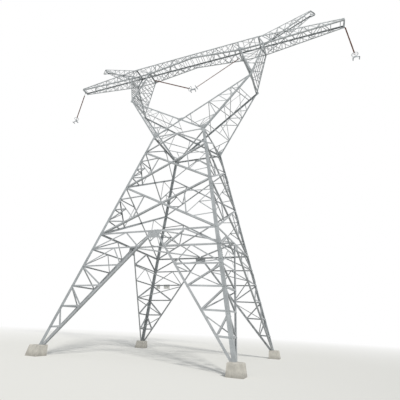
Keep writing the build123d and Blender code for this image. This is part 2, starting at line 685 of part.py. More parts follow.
# Left-hand suspension string, hanging from the beam across the crossarm tip
tip_seat = between(tip_low, outer_low, BEAM / (TIP_X - OUTER_X)).Z - BEAM_GAP
tip_pin = point(-TIP_X + BEAM / 2, 0, tip_seat - BEAM_PLATE - PIN_DROP)
with BuildPart() as tip_beam:
    with BuildSketch(Plane.YZ.offset(-TIP_X)):
        with Locations((0, (ARM_TIP + TIP_DEPTH / 2 + tip_seat - BEAM_PLATE) / 2)):
            Rectangle(2 * TIP_Y + 2 * SEAT, ARM_TIP + TIP_DEPTH / 2 - tip_seat + BEAM_PLATE)
    extrude(amount=-BEAM_PLATE)
    with BuildSketch(Plane.XY.offset(tip_seat)):
        with Locations((-TIP_X, 0)):
            Rectangle(BEAM, 2 * TIP_Y + 2 * SEAT, align=(Align.MIN, Align.CENTER))
    extrude(amount=-BEAM_PLATE)
    add(hanger(Plane(origin=tip_pin, x_dir=(-1, 0, 0), z_dir=(0, 1, 0))))
tip_end = tip_pin - point(0, 0, NECK)
yoke_top = tip_end - point(0, 0, ROD_LENGTH + 2 * SOCKET + 2 * SEAT + 2 * LINK)
rod, upper, lower, grading_ring = string_parts(tip_end, yoke_top, ROD_LENGTH)
tip_eye = eye(Plane(origin=tip_pin, x_dir=(-1, 0, 0), z_dir=(0, 1, 0)))
strings = {
    "tip_beam": [tip_beam.part],
    "string_insulator": [rod],
    "string_fittings": [tip_eye + upper, lower + yoke(yoke_top, 2 * CLAMP_WIDTH)],
    "string_ring": [grading_ring],
}

# V-string in the window, hanging from two beams across the crossarm above the inner chords
beam_x = INNER_X - 5 - BEAM / 2
v_pin = point(-beam_x, 0, ARM_BOTTOM - SEAT - BEAM_PLATE - PIN_DROP)
with BuildPart() as v_beam:
    with BuildSketch(Plane.XZ.offset(-ARM_Y)):
        with Locations((-beam_x - BEAM / 2, ARM_BOTTOM - SEAT)):
            Rectangle(BEAM, BEAM_PLATE, align=(Align.MIN, Align.MAX))
            Rectangle(BEAM_PLATE, BEAM, align=(Align.MIN, Align.MAX))
    extrude(amount=2 * ARM_Y)
    add(hanger(Plane(origin=v_pin, x_dir=(0, 1, 0), z_dir=(1, 0, 0))))
v_end = v_pin - point(0, 0, NECK)
v_yoke = point(0, 0, ARM_BOTTOM - YOKE_DROP)
v_corner = v_yoke + point(-YOKE_TOP / 2 + LINK_R, 0, -LINK_R)
V_ROD_LENGTH = (v_corner - v_end).length - 2 * SOCKET - 2 * SEAT - 2 * LINK
v_rod, v_upper, v_lower, v_ring = string_parts(v_end, v_corner, V_ROD_LENGTH)
v_eye = eye(Plane(origin=v_pin, x_dir=(0, 1, 0), z_dir=(1, 0, 0))) + v_upper


def mirrored(part):
    return [part, mirror(part, about=Plane.YZ, mode=Mode.PRIVATE)]


def group(solids):
    with BuildPart() as placed:
        for solid in solids:
            add(solid)
    return placed.part


save(group(mirrored(v_beam.part)), "v_string_beams")
save(group(mirrored(v_rod)), "v_string_insulators")
lower_pair = mirrored(v_lower)
save(group(mirrored(v_eye) + [lower_pair[0] + lower_pair[1] + yoke(v_yoke, YOKE_TOP)]), "v_string_fittings")
save(group(mirrored(v_ring)), "v_string_rings")


def both(part):
    """A frame and its mirror image on the far side."""
    return [part, mirror(part, about=Plane.XZ, mode=Mode.PRIVATE)]


head = {
    "lower_arm_frames": both(lower_frame),
    "lower_arm_lacing": [lower_outer_lacing, lower_inner_lacing],
    "upper_arm_frames": both(upper_frame),
    "upper_arm_lacing": [upper_outer_lacing, upper_inner_lacing, elbow_strut],
    "crossarm_frames": both(arm_half),
    "crossarm_lacing": [bottom_lacing, rise_lacing, top_lacing, post_ties],
    "crossarm_end_frames": both(end_frame),
    "crossarm_end_lacing": [end_bottom_lacing, end_top_lacing],
    "ground_wire_peak": both(peak_frame) + [wire_arm.part],
    "ground_wire_peak_lacing": [peak_lower_lacing, peak_upper_lacing],
}
for name, solids in (head | strings).items():
    save(group(solids), f"left_{name}")
    save(group([mirror(solid, about=Plane.YZ, mode=Mode.PRIVATE) for solid in solids]), f"right_{name}")
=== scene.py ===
"""Dresses the lattice pylon: light bracing, bolts, fittings, insulator sheds, finishes and studio."""

import math

import bmesh
import bpy
from bpy.props import FloatProperty, FloatVectorProperty, IntProperty, PointerProperty
from mathutils import Matrix, Vector


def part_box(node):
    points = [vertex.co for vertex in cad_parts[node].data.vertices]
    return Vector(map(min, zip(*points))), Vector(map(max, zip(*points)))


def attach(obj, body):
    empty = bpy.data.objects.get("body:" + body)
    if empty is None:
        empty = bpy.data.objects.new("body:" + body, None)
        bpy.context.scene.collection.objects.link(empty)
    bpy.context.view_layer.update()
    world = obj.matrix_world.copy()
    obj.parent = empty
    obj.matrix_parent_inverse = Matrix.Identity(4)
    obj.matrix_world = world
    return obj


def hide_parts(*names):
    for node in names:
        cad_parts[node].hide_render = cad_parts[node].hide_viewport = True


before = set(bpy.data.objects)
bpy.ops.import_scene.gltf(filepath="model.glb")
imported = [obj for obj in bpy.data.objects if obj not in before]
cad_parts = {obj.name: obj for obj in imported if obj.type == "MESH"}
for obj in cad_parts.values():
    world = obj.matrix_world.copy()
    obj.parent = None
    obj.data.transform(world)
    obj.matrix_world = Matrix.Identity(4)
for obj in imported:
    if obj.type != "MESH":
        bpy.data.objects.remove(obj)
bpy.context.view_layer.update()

bl_info = {
    "name": "Lattice pylon dressing",
    "version": (1, 0, 0),
    "blender": (4, 5, 0),
    "location": "3D View > Sidebar > Pylon",
    "description": "Small steelwork, insulators, finishes and studio for a lattice pylon",
    "category": "Object",
}

# The body, in metres: heights of its beams and rungs, and half its spread at the foot and at the waist
FOOTING_TOP = 0.45
LEVELS = (6.14, 9.53, 12.65)
WAIST = 14.23
BASE_HALF = 5.0
WAIST_HALF = 2.15
RUNGS = (5.2, 4.22, 3.17, 2.17, 1.215)
STAY_INSET = 0.27
STAY_LENGTH = 7.4

# Steel sections of the frame, and how one piece is seated on the next
LEG_WIDTH = 0.18
LEG_THICK = 0.016
BAR_THICK = 0.008
WIDE_CHORD = 0.125
CHORD_WIDTH = 0.11
PEAK_CHORD = 0.08
SEAT = 0.0003
BRACING_DEPTH = LEG_THICK + SEAT
BEHIND_BRACING = BRACING_DEPTH + BAR_THICK + SEAT
BEHIND_CHORD = BAR_THICK + SEAT
LAP = 0.07
FAR_INSIDE = 0.25

# Corners of the near left quarter of the head, along the outer edges of its chords
ELBOW_X = 5.82
INNER_X = 4.79
ARM_Y = 0.71
TIP_Y = 0.43
ARM_BOTTOM = 23.67
ARM_TOP = 24.9
WAIST_LEFT = Vector((-WAIST_HALF, -WAIST_HALF, WAIST))
WAIST_RIGHT = Vector((WAIST_HALF, -WAIST_HALF, WAIST))
ELBOW = Vector((-ELBOW_X, -1.285, 19.69))
CROSSING = ELBOW.lerp(WAIST_RIGHT, ELBOW_X / (ELBOW_X + WAIST_HALF))
OUTER_LOW = Vector((-7.05, -ARM_Y, ARM_BOTTOM))
OUTER_HIGH = Vector((-6.62, -ARM_Y, ARM_TOP))
INNER_LOW = Vector((-INNER_X, -ARM_Y, ARM_BOTTOM))
INNER_HIGH = Vector((-4.67, -ARM_Y, ARM_TOP))
MID_LOW = Vector((0, -ARM_Y, 24.35))
MID_HIGH = Vector((0, -ARM_Y, ARM_TOP))
TIP_LOW = Vector((-13.87, -TIP_Y, 24.3))
TIP_HIGH = Vector((-13.87, -TIP_Y, 24.54))
PEAK_LOW = OUTER_LOW + Vector((0, CHORD_WIDTH + SEAT, 0))
PEAK_HIGH = OUTER_HIGH + Vector((0, CHORD_WIDTH + SEAT, 0))
PEAK_TOP = Vector((-11.45, -0.3, 27.03))
PEAK_BOTTOM = Vector((-11.45, -0.3, 26.87))
PEAK_HOLE = Vector((-11.866, 0, 26.68))

# The two angles from a peak to the hole beyond its tip: where they start and end, and their normal
PEAK_ARMS = (
    (PEAK_TOP + Vector((-0.02, 0.02, -0.03)), PEAK_HOLE + Vector((0.05, -0.04, 0.02))),
    (PEAK_BOTTOM + Vector((-0.02, 0.02, 0.03)), PEAK_HOLE + Vector((0.05, -0.04, -0.01))),
)
PEAK_ARM_NORMAL = Vector((-0.5, -1, 0)).normalized()

# The redundant bars of an X panel: shares of its height down the leg, of its diagonals and of a bar
LEG_UPPER = 0.275
LEG_LOWER = 0.735
ON_FALLING = 0.245
KNEE = 0.29
ANKLE = 0.23
BAR_MIDDLE = 0.52

# Bolts: how far they stand from the ends and crossings of members, and the size of those on light angles
BOLT_INSET = 0.03
BOLT_SPACE = 0.045
PAIR_HALF = 0.032
MEMBER_BOLTS = (0.05, 0.115)
HUB_BOLTS = (0.12, 0.24, 0.36)
WAIST_BOLTS = (0.06, 0.15)
RUNG_BOLT = 0.055
STAY_BOLT = 0.05
STAY_SPREAD = 1.15
LIGHT_BOLT = 0.8

# Splices: how far below each level they lie, and shares of the leg's width and of their own length
SPLICE_DROPS = (1.42, 0.6, 0.6)
SPLICE_THICK = 0.012
SPLICE_TOP = 0.015
SPLICE_WIDTH = 0.8
SPLICE_GAUGE = 0.22
SPLICE_ROWS = (-0.42, -0.26, -0.1, 0.1, 0.26, 0.42)

# Corner plates: how far they reach along the members
WAIST_GUSSET = 0.42
CORNER_GUSSET = 0.3

# The strings, and the clamps below their yokes
STRINGS = ("left_string", "right_string", "v_string")
CLAMPS = (("left_string", -13.81, 19.9143), ("right_string", 13.81, 19.9143), ("v_string", 0.0, 20.51))
CLAMP_SPREAD = 0.225
CLAMP_END = 0.1303
CLAMP_TOP = 0.0383
KEEPER_TOP = 0.0088
KEEPERS = (0.05, 0.1)
KEEPER_SIZE = (0.07, 0.05, 0.007)
KEEPER_NARROWED = 0.6
KEEPER_BOLT = 0.018
CLAMP_BOLT_SIZE = (0.012, 0.01)
YOKE_PIN_SIZE = (0.022, 0.014)
YOKE_PIN_RISE = 0.14
YOKE_FACE = 0.0083
V_PIN = Vector((-4.725, 0, 23.4477))
V_YOKE = Vector((-0.166, 0, 20.786))
V_ROD = 4.7785
V_RUN = (V_YOKE - V_PIN).normalized() * V_ROD
LINK = 0.12
SOCKET = 0.13
RING_BELOW_ROD = LINK + SOCKET * 1.5 + 2 * SEAT

# Bare plates on the back: where each begins and ends along the rung, its middle's height and its thickness
PLATE_SPANS = ((-3.84, -3.52), (-3.19, -2.67))
PLATE_HEIGHT = 4.14
PLATE_THICK = 0.004

# The studio: where the sun stands, and the camera with its yaw, pitch and roll in degrees
SUN_SIDE = Vector((0.62, -0.62, 0.75))
CAMERA_AT = Vector((8.407, -18.185, 1.526))
CAMERA_TURNS = (-22.095, 31.86, 2.991)
LENS = 25.63
SENSOR = 36
SHIFT_Y = -0.125

# The body that the steel rides on, and the turns that make its four faces
STEEL_BODY = "tower"
QUARTERS = [Matrix.Rotation(math.radians(90 * k), 4, "Z") for k in range(4)]

# How near two directions are to count as one, loosely and closely, and the angle up to which edges are smooth
FACING = 0.9
ALIKE = 0.999
SMOOTH_UP_TO = math.radians(35)


def linear(hex_colour):
    """Linear RGBA of an sRGB hex colour."""
    channels = [int(hex_colour[i : i + 2], 16) / 255 for i in (1, 3, 5)]
    return [c / 12.92 if c <= 0.04045 else ((c + 0.055) / 1.055) ** 2.4 for c in channels] + [1.0]


def colour(name, description, hex_colour):
    """Property that holds a colour, given in sRGB hex."""
    return FloatVectorProperty(
        name=name, description=description, subtype="COLOR", size=4, min=0, max=1, default=linear(hex_colour)
    )


def length(name, description, default):
    """Property that holds a length in metres."""
    return FloatProperty(name=name, description=description, default=default, min=0, unit="LENGTH")


class PylonSizes(bpy.types.PropertyGroup):
    """Sizes and colours of the pylon's dressing."""

    gusset_thick: length("Gusset thickness", "Thickness of the corner plates", 0.01)
    redundant_width: length("Redundant width", "Leg of the light angles that brace the panels", 0.06)
    redundant_thick: length("Redundant thickness", "Thickness of the light angles", 0.006)
    lacing_width: length("Lacing width", "Leg of the light angles that lace the head", 0.05)
    bolt_radius: length("Bolt radius", "Half the width of a nut across its corners", 0.02)
    bolt_height: length("Bolt height", "Height of a nut on its washer", 0.016)
    splice_length: length("Splice length", "Length of the cover plates on the legs", 0.62)
    shed_radius: length("Shed radius", "Radius of the larger sheds", 0.056)
    small_shed_radius: length("Small shed radius", "Radius of the sheds between them", 0.043)
    shed_pitch: length("Shed pitch", "Distance from one shed to the next", 0.045)
    sheath_radius: length("Sheath radius", "Radius of the rubber sheath on the rod", 0.019)
    shed_sides: IntProperty(name="Shed sides", description="Corners around a shed", default=16, min=8)
    ring_radius: length("Ring radius", "Radius of the grading rings to the middle of the tube", 0.23)
    ring_tube: length("Ring tube", "Radius of the tube of the grading rings", 0.022)
    sign_size: length("Sign size", "Height of the bare plates on the back", 0.32)
    steel_colour: colour("Steel", "Weathered zinc on the main members", "#AEB3B5")
    bracing_colour: colour("Bracing", "Zinc on the lighter members", "#B4B8BA")
    concrete_colour: colour("Concrete", "Cast footings", "#D0CDC4")
    rubber_colour: colour("Rubber", "Silicone sheds", "#835846")
    floor_colour: colour("Floor", "Studio floor", "#E4E4E0")


# Mesh helpers


def active(piece):
    """Leave only this piece selected and active."""
    bpy.ops.object.select_all(action="DESELECT")
    piece.select_set(True)
    bpy.context.view_layer.objects.active = piece
    return piece


def pick(piece, test):
    """Select in edit mode only the faces whose centre and normal pass the test."""
    bpy.ops.mesh.select_mode(type="FACE")
    bpy.ops.mesh.select_all(action="DESELECT")
    mesh = bmesh.from_edit_mesh(piece.data)
    for face in mesh.faces:
        face.select_set(test(face.calc_center_median(), face.normal))
    bmesh.update_edit_mesh(piece.data)


def settle(piece):
    """Put the object's place into its mesh, so that the object sits at the origin."""
    active(piece)
    bpy.ops.object.transform_apply(location=True, rotation=True, scale=True)
    return piece


def primitive(make, **sizes):
    """A new primitive, made with nothing else selected, with its place put into its mesh."""
    bpy.ops.object.select_all(action="DESELECT")
    make(**sizes)
    return settle(bpy.context.object)


def block(long, wide, thick, middle):
    """Box about its middle, to be shaped further."""
    return primitive(bpy.ops.mesh.primitive_cube_add, size=1, location=middle, scale=(long, wide, thick))


def round_block(sides, radius, depth, height=0.0):
    """Upright cylinder whose middle is at that height, to be shaped further."""
    make = bpy.ops.mesh.primitive_cylinder_add
    return primitive(make, vertices=sides, radius=radius, depth=depth, location=(0, 0, height))


def faces_up(centre, normal):
    return normal.z > FACING


def faces_down(centre, normal):
    return normal.z < -FACING


def faces_up_or_down(centre, normal):
    return abs(normal.z) > FACING


def raise_faces(x, y, z):
    """Extrude the selected faces by that much."""
    bpy.ops.mesh.extrude_region_move(TRANSFORM_OT_translate={"value": (x, y, z)})


def bore(piece, wall):
    """Open an upright cylinder into a tube with that wall, in edit mode."""
    pick(piece, faces_up_or_down)
    bpy.ops.mesh.inset(thickness=wall, use_individual=True)
    bpy.ops.mesh.bridge_edge_loops()


def edit():
    bpy.ops.object.mode_set(mode="EDIT")


def done():
    bpy.ops.object.mode_set(mode="OBJECT")


def smooth(piece):
    active(piece)
    bpy.ops.object.shade_smooth_by_angle(angle=SMOOTH_UP_TO)
    return piece


def copied(template, matrix):
    """A copy of a template with its own mesh, placed by a matrix."""
    piece = template.copy()
    piece.data = template.data.copy()
    piece.data.transform(matrix)
    bpy.context.collection.objects.link(piece)
    return piece


def joined(pieces, name):
    """One piece of that name from several."""
    bpy.ops.object.select_all(action="DESELECT")
    for piece in pieces:
        piece.select_set(True)
    bpy.context.view_layer.objects.active = pieces[0]
    if len(pieces) > 1:
        bpy.ops.object.join()
    whole = bpy.context.view_layer.objects.active
    whole.name = name
    whole.data.name = name
    return whole


def drop(*templates):
    """Remove templates once their copies are made."""
    for template in templates:
        bpy.data.objects.remove(template, do_unlink=True)


def finished(pieces, name, body, slot, finish=None, nodes=()):
    """Join pieces, give the whole the finish that the slot names (or the finish given instead) and its body,
    and hide the frame's nodes that it stands in for.
    """
    piece = joined(pieces, name)
    piece.data.materials.clear()
    piece.data.materials.append(material(finish or slot))
    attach(piece, body)
    if nodes:
        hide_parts(*nodes)


def frame_matrix(x, y, z, origin):
    """Matrix that carries the axes to three directions and the origin to a point."""
    matrix = Matrix.Identity(4)
    for i, column in enumerate((x, y, z, origin)):
        for j in range(3):
            matrix[j][i] = column[j]
    return matrix


def placed_along(start, end, normal, stretched=True):
    """Matrix that lays a template of unit length from start to end, its Z along the normal."""
    x = end - start
    z = (normal - x * (normal.dot(x) / x.length_squared)).normalized()
    y = z.cross(x.normalized())
    return frame_matrix(x if stretched else x.normalized(), y, z, start)


# Templates


def light_angle(width, thick):
    """Rolled angle of unit length along X: a flat leg on Z = 0 and a second leg that rises at +Y."""
    piece = block(1, width, thick, (0.5, 0, thick / 2))
    edge = width / 2 - thick
    edit()
    bpy.ops.mesh.select_all(action="SELECT")
    bpy.ops.mesh.bisect(plane_co=(0, edge, 0), plane_no=(0, 1, 0))
    pick(piece, lambda centre, normal: normal.z > FACING and centre.y > edge)
    raise_faces(0, 0, width - thick)
    done()
    return piece


def hex_bolt(radius, height):
    """Hexagon nut on Z = 0, with the end of its shank standing out."""
    land, shank = 0.3, 0.5
    piece = round_block(6, radius, height, height / 2)
    edit()
    pick(piece, faces_up)
    bpy.ops.mesh.inset(thickness=radius * land)
    raise_faces(0, 0, height * shank)
    done()
    return piece


def cover_plate(long, wide, thick):
    """Steel plate about the origin, lying on Z = 0, its upper edges dressed."""
    dressing = thick * 0.25
    piece = block(long, wide, thick, (0, 0, thick / 2))
    edit()
    pick(piece, faces_up)
    bpy.ops.mesh.inset(thickness=dressing, depth=dressing)
    done()
    return piece


def gusset(thick):
    """Corner plate of unit reach along X and Y, its far corner cut off."""
    cut = 0.6
    piece = block(1, 1, thick, (0.5, 0.5, thick / 2))
    edit()
    bpy.ops.mesh.select_all(action="SELECT")
    bpy.ops.mesh.bisect(plane_co=(cut, cut, 0), plane_no=(1, 1, 0), use_fill=True, clear_outer=True)
    done()
    return piece


def shed(radius, core, sides):
    """Silicone shed: a sloping skirt with a thin rim, hollow underneath."""
    rim, rise, hollow = 0.004, 0.022, 0.012
    piece = round_block(sides, radius, rim)
    edit()
    pick(piece, faces_up)
    bpy.ops.mesh.inset(thickness=radius - core, depth=rise)
    pick(piece, faces_down)
    bpy.ops.mesh.inset(thickness=radius - core, depth=-hollow)
    done()
    return smooth(piece)


def sheath(top, bottom, radius, sides):
    """Rubber sheath from top to bottom, its ends pressed flat inside a narrow edge."""
    edge, swell = 0.12, 0.0005
    run = bottom - top
    piece = round_block(sides, radius, run.length)
    edit()
    for sign in (1, -1):
        pick(piece, lambda centre, normal: normal.z * sign > FACING)
        bpy.ops.mesh.inset(thickness=radius * edge)
        raise_faces(0, 0, sign * swell)
    done()
    turn = run.to_track_quat("Z", "Y").to_matrix().to_4x4()
    piece.data.transform(Matrix.Translation((top + bottom) / 2) @ turn)
    return smooth(piece)


def bell_mouth():
    """Flared sleeve for an end of a clamp's bore, standing up from Z = 0."""
    radius, long, flare, wall = 0.026, 0.03, 1.25, 0.008
    piece = round_block(16, radius, long, long / 2)
    edit()
    pick(piece, faces_up)
    bpy.ops.transform.resize(value=(flare, flare, 1))
    bore(piece, wall)
    done()
    return smooth(piece)


def grading_ring(sizes):
    """Torus on two straps that run to a clamp about the socket."""
    collar, strap_wide, strap_thick = 0.03, 0.03, 0.008
    foot, foot_flare = 0.003, (1, 1.5, 3)
    clamp_radius, clamp_long, clamp_wall = 0.037, 0.04, 0.009
    pieces = [
        primitive(
            bpy.ops.mesh.primitive_torus_add,
            major_radius=sizes.ring_radius,
            minor_radius=sizes.ring_tube,
            major_segments=48,
            minor_segments=12,
        )
    ]
    reach = sizes.ring_radius - collar
    for side in (1, -1):
        strap = block(reach, strap_wide, strap_thick, (side * (collar + reach / 2), 0, 0))
        edit()
        pick(strap, lambda centre, normal: normal.x * side < -FACING)
        raise_faces(-side * foot, 0, 0)
        bpy.ops.transform.resize(value=foot_flare)
        done()
        pieces.append(strap)
    clamp = round_block(24, clamp_radius, clamp_long)
    edit()
    bore(clamp, clamp_wall)
    done()
    return smooth(joined(pieces + [clamp], "grading_ring"))


# Places on the tower


def leg_half(height):
    """Half the spread of the legs at a height."""
    return BASE_HALF - (BASE_HALF - WAIST_HALF) / (WAIST - FOOTING_TOP) * (height - FOOTING_TOP)


INWARD = Vector((0, 1, -(BASE_HALF - WAIST_HALF) / (WAIST - FOOTING_TOP))).normalized()
LEG_FOOT = Vector((-BASE_HALF, -BASE_HALF, FOOTING_TOP))
DOWN_LEG = (LEG_FOOT - WAIST_LEFT).normalized()


def on_face(x, height, depth):
    """Point on the near face, or that far behind it."""
    return Vector((x, -leg_half(height), height)) + INWARD * depth


def on_leg(height):
    """Place on the left leg, as (x, height)."""
    return (-leg_half(height), height)


def share(a, b, part):
    """Place at a share of the way from one (x, height) to another."""
    return tuple(a[i] + (b[i] - a[i]) * part for i in range(2))


def half_panel_bars(low, high):
    """Redundant bars of the left half of one X panel, as pairs of (x, height)."""
    rise = high - low
    leg_upper = on_leg(high - LEG_UPPER * rise)
    leg_lower = on_leg(high - LEG_LOWER * rise)
    falling = (on_leg(high), (leg_half(low), low))
    rising = (on_leg(low), (leg_half(high), high))
    on_falling = share(*falling, ON_FALLING)
    knee = share(*rising, KNEE)
    ankle = share(*rising, ANKLE)
    middle = share(leg_upper, knee, BAR_MIDDLE)
    return [
        (leg_upper, on_falling),
        (knee, on_falling),
        (leg_upper, knee),
        (on_leg(middle[1]), middle),
        (leg_lower, middle),
        (leg_lower, ankle),
    ]


def flipped(vector, side, depth=1):
    """A vector of the near left quarter, on the right or on the far side where these are -1."""
    return Vector((vector.x * side, vector.y * depth, vector.z))


def mirrored(bar, side, depth):
    """A bar's points and normal, all flipped the same way."""
    return tuple(flipped(vector, side, depth) for vector in bar)


def quartered(turn, *vectors):
    """Vectors turned with one of the four faces of the body."""
    return tuple(turn.to_3x3() @ vector for vector in vectors)


def four_ways(bars):
    """Bars of the near left part of the head, with their mirror images right and far."""
    return [mirrored(bar, side, depth) for bar in bars for side in (1, -1) for depth in (1, -1)]


def two_ways(bars):
    """Bars that cross from near to far on the left, with their mirror images on the right."""
    return [mirrored(bar, side, 1) for bar in bars for side in (1, -1)]


def trimmed(start, end, cut):
    """A line drawn in by the cut at both of its ends."""
    inwards = (end - start).normalized() * cut
    return start + inwards, end - inwards


def side_normal(start, end, toward):
    """Normal of the side between a near chord and its far image, towards a point inside."""
    normal = (end - start).cross(Vector((0, 1, 0))).normalized()
    return normal if normal.dot(toward - start) > 0 else -normal


def face_normal(start, end, third):
    """Normal of a near face through three points, pointing away from the tower."""
    normal = (end - start).cross(third - start).normalized()
    return normal if normal.y < 0 else -normal


def seat(node, origin, inward):
    """How far inside a plane the flat bars of a node reach."""
    faces = [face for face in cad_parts[node].data.polygons if face.normal.dot(inward) > ALIKE]
    depths = [(face.center - origin).dot(inward) for face in faces]
    return max(depth for depth in depths if depth < FAR_INSIDE)


def shares(first, last, count):
    """Evenly spaced values from the first to the last."""
    return [first + (last - first) * i / (count - 1) for i in range(count)]


def side_struts(node, start, end, toward, steps):
    """Square struts between the near chord and the far one of a side, on the inner face of its own bars."""
    normal = side_normal(start, end, toward)
    lift = normal * (seat(node, start, normal) + SEAT)
    near = [start.lerp(end, step) + lift for step in steps]
    return [trimmed(a, flipped(a, 1, -1), LAP) + (normal,) for a in near]


def side_ties(node, start, end, toward, steps):
    """Short bars in the middle of a side that tie each bar of its zigzag to the next, along the chords."""
    normal = side_normal(start, end, toward)
    lift = normal * (seat(node, start, normal) + SEAT)
    middles = []
    for a, b in zip(steps, steps[1:]):
        near, away = start.lerp(end, a), start.lerp(end, b)
        middles.append((near + flipped(away, 1, -1)) / 2 + lift)
    flat = [Vector((m.x, 0, m.z)) for m in middles]
    return [(a, b, normal) for a, b in zip(flat, flat[1:])]


def lay(template, bars):
    """Copies of a template laid along bars, each given by start, end and normal."""
    return [copied(template, placed_along(*bar)) for bar in bars]


def bar_ends(bars, thick):
    """Places of bolts near both ends of each bar, as (point on the bar's flat, normal)."""
    places = []
    for start, end, normal in bars:
        matrix = placed_along(start, end, normal, False)
        up = matrix.col[2].to_3d()
        reaches = (BOLT_INSET, (end - start).length - BOLT_INSET)
        places += [(matrix @ Vector((x, 0, thick)), up) for x in reaches]
    return places


def chord_places(start, end, inside, steps, width):
    """Places of bolts along the middle of a chord's flat, from its start, and their mirror images."""
    run = (end - start).normalized()
    across = (inside - start) - run * run.dot(inside - start)
    across = across.normalized() * width / 2
    outward = face_normal(start, end, inside)
    return four_ways([(start + run * step + across, outward) for step in steps])


def bolted(template, places):
    """Bolts at the places, leaving out each that would touch one already set."""
    gap = BOLT_SPACE
    kept = []
    for place, normal in places:
        if all((place - other).length > gap for other, _ in kept if abs(place.z - other.z) < gap):
            kept.append((place, normal))
    turns = [(place, normal.to_track_quat("Z", "Y").to_matrix().to_4x4()) for place, normal in kept]
    return [copied(template, Matrix.Translation(place) @ turn) for place, turn in turns]


# Operators


class PYLON_OT_redundants(bpy.types.Operator):
    """Light angles that brace the X panels of the four body faces"""

    bl_idname = "pylon.redundants"
    bl_label = "Redundant bracing"

    def execute(self, context):
        sizes = context.scene.pylon
        template = light_angle(sizes.redundant_width, sizes.redundant_thick)
        bolt = hex_bolt(sizes.bolt_radius, sizes.bolt_height)
        bars = []
        for low, high in zip(LEVELS, LEVELS[1:]):
            for start, end in half_panel_bars(low, high):
                first = share(start, end, leg_overlap(start, end))
                for side in (1, -1):
                    ends = [on_face(side * x, z, BEHIND_BRACING) for x, z in (first, end)]
                    bars += [quartered(turn, *ends, INWARD) for turn in QUARTERS]
        pieces = lay(template, bars) + bolted(bolt, bar_ends(bars, sizes.redundant_thick))
        drop(template, bolt)
        finished(pieces, "redundant_bracing", STEEL_BODY, "galvanised_bracing")
        return {"FINISHED"}


def leg_overlap(start, end):
    """Share of a bar that is cut off because it would lie on the outer half of the leg's flat."""
    most = 0.2
    if start != on_leg(start[1]):
        return 0
    return min(LEG_WIDTH / 2 / abs(end[0] - start[0]), most)


class PYLON_OT_leg_splices(bpy.types.Operator):
    """Cover plates where the leg angles are spliced"""

    bl_idname = "pylon.leg_splices"
    bl_label = "Leg splices"

    def execute(self, context):
        sizes = context.scene.pylon
        plate = cover_plate(sizes.splice_length, LEG_WIDTH * SPLICE_WIDTH, SPLICE_THICK)
        bolt = hex_bolt(sizes.bolt_radius, sizes.bolt_height)
        pieces = []
        for matrix in splice_places():
            pieces += [copied(plate, turn @ matrix) for turn in QUARTERS]
            for along in SPLICE_ROWS:
                for across in (-SPLICE_GAUGE, SPLICE_GAUGE):
                    spot = Vector((along * sizes.splice_length, across * LEG_WIDTH, SPLICE_TOP))
                    place = matrix @ Matrix.Translation(spot)
                    pieces += [copied(bolt, turn @ place) for turn in QUARTERS]
        drop(plate, bolt)
        finished(pieces, "leg_splices", STEEL_BODY, "galvanised_steel")
        return {"FINISHED"}


def splice_places():
    """Where the cover plates lie on both flats of the near left leg."""
    places = []
    for level, drop_below in zip(LEVELS, SPLICE_DROPS):
        height = level - drop_below
        heel = Vector((-leg_half(height), -leg_half(height), height))
        for normal in (-INWARD, Matrix.Rotation(-math.pi / 2, 3, "Z") @ -INWARD):
            inwards = DOWN_LEG.cross(normal)
            inwards = inwards if inwards.x + inwards.y > 0 else -inwards
            middle = heel + inwards * LEG_WIDTH / 2
            places.append(frame_matrix(DOWN_LEG, normal.cross(DOWN_LEG), normal, middle))
    return places


class PYLON_OT_head_lacing(bpy.types.Operator):
    """Light angles that tie and cross the lacing of the arms and the crossarm"""

    bl_idname = "pylon.head_lacing"
    bl_label = "Head lacing"

    def execute(self, context):
        sizes = context.scene.pylon
        template = light_angle(sizes.lacing_width, sizes.redundant_thick)
        bolt = hex_bolt(sizes.bolt_radius * LIGHT_BOLT, sizes.bolt_height * LIGHT_BOLT)
        for name, bars in (("arm_lacing", arm_side_bars()), ("crossarm_counter_lacing", crossarm_bars())):
            pieces = lay(template, bars) + bolted(bolt, bar_ends(bars, sizes.redundant_thick))
            finished(pieces, name, STEEL_BODY, "galvanised_bracing")
        drop(template, bolt)
        return {"FINISHED"}


def arm_side_bars():
    """Ties on the sides of the lower arms and struts on those of the upper arms."""
    lower = "left_lower_arm_lacing"
    upper = "left_upper_arm_lacing"
    bars = side_ties(lower, WAIST_LEFT, ELBOW, CROSSING, shares(0.06, 0.88, 6))
    bars += side_ties(lower, CROSSING, ELBOW, WAIST_LEFT, shares(0.06, 0.86, 6))
    bars += side_struts(upper, ELBOW, OUTER_LOW, INNER_LOW, shares(0.12, 0.92, 9))
    bars += side_struts(upper, ELBOW, INNER_LOW, OUTER_LOW, shares(0.12, 0.92, 9))
    return two_ways(bars)


def crossarm_bars():
    """Second zigzag of the crossarm's middle, and struts across the crossarm's top and underside."""
    on_top = (4.62, 3.32, 2.0, 0.67)
    below = (4.02, 2.68, 1.34, 0.0)
    behind = Vector((0, BEHIND_CHORD, 0))
    half = CHORD_WIDTH / 2
    path = []
    for top_x, low_x in zip(on_top, below):
        low_z = INNER_LOW.lerp(MID_LOW, 1 - low_x / INNER_X).z + half
        path.append(Vector((-top_x, -ARM_Y, ARM_TOP - half)) + behind)
        path.append(Vector((-low_x, -ARM_Y, low_z)) + behind)
    zigzag = [trimmed(a, b, BOLT_INSET) + (Vector((0, 1, 0)),) for a, b in zip(path, path[1:])]
    end = "left_crossarm_end_lacing"
    centre = "left_crossarm_lacing"
    struts = side_struts(end, OUTER_LOW, TIP_LOW, OUTER_HIGH, shares(0.03, 0.95, 9))
    struts += side_struts(centre, INNER_LOW, MID_LOW, INNER_HIGH, shares(0.1, 0.94, 8))
    struts += side_struts(centre, OUTER_HIGH, MID_HIGH, INNER_LOW, shares(0.07, 0.95, 12))
    return four_ways(zigzag) + two_ways(struts)


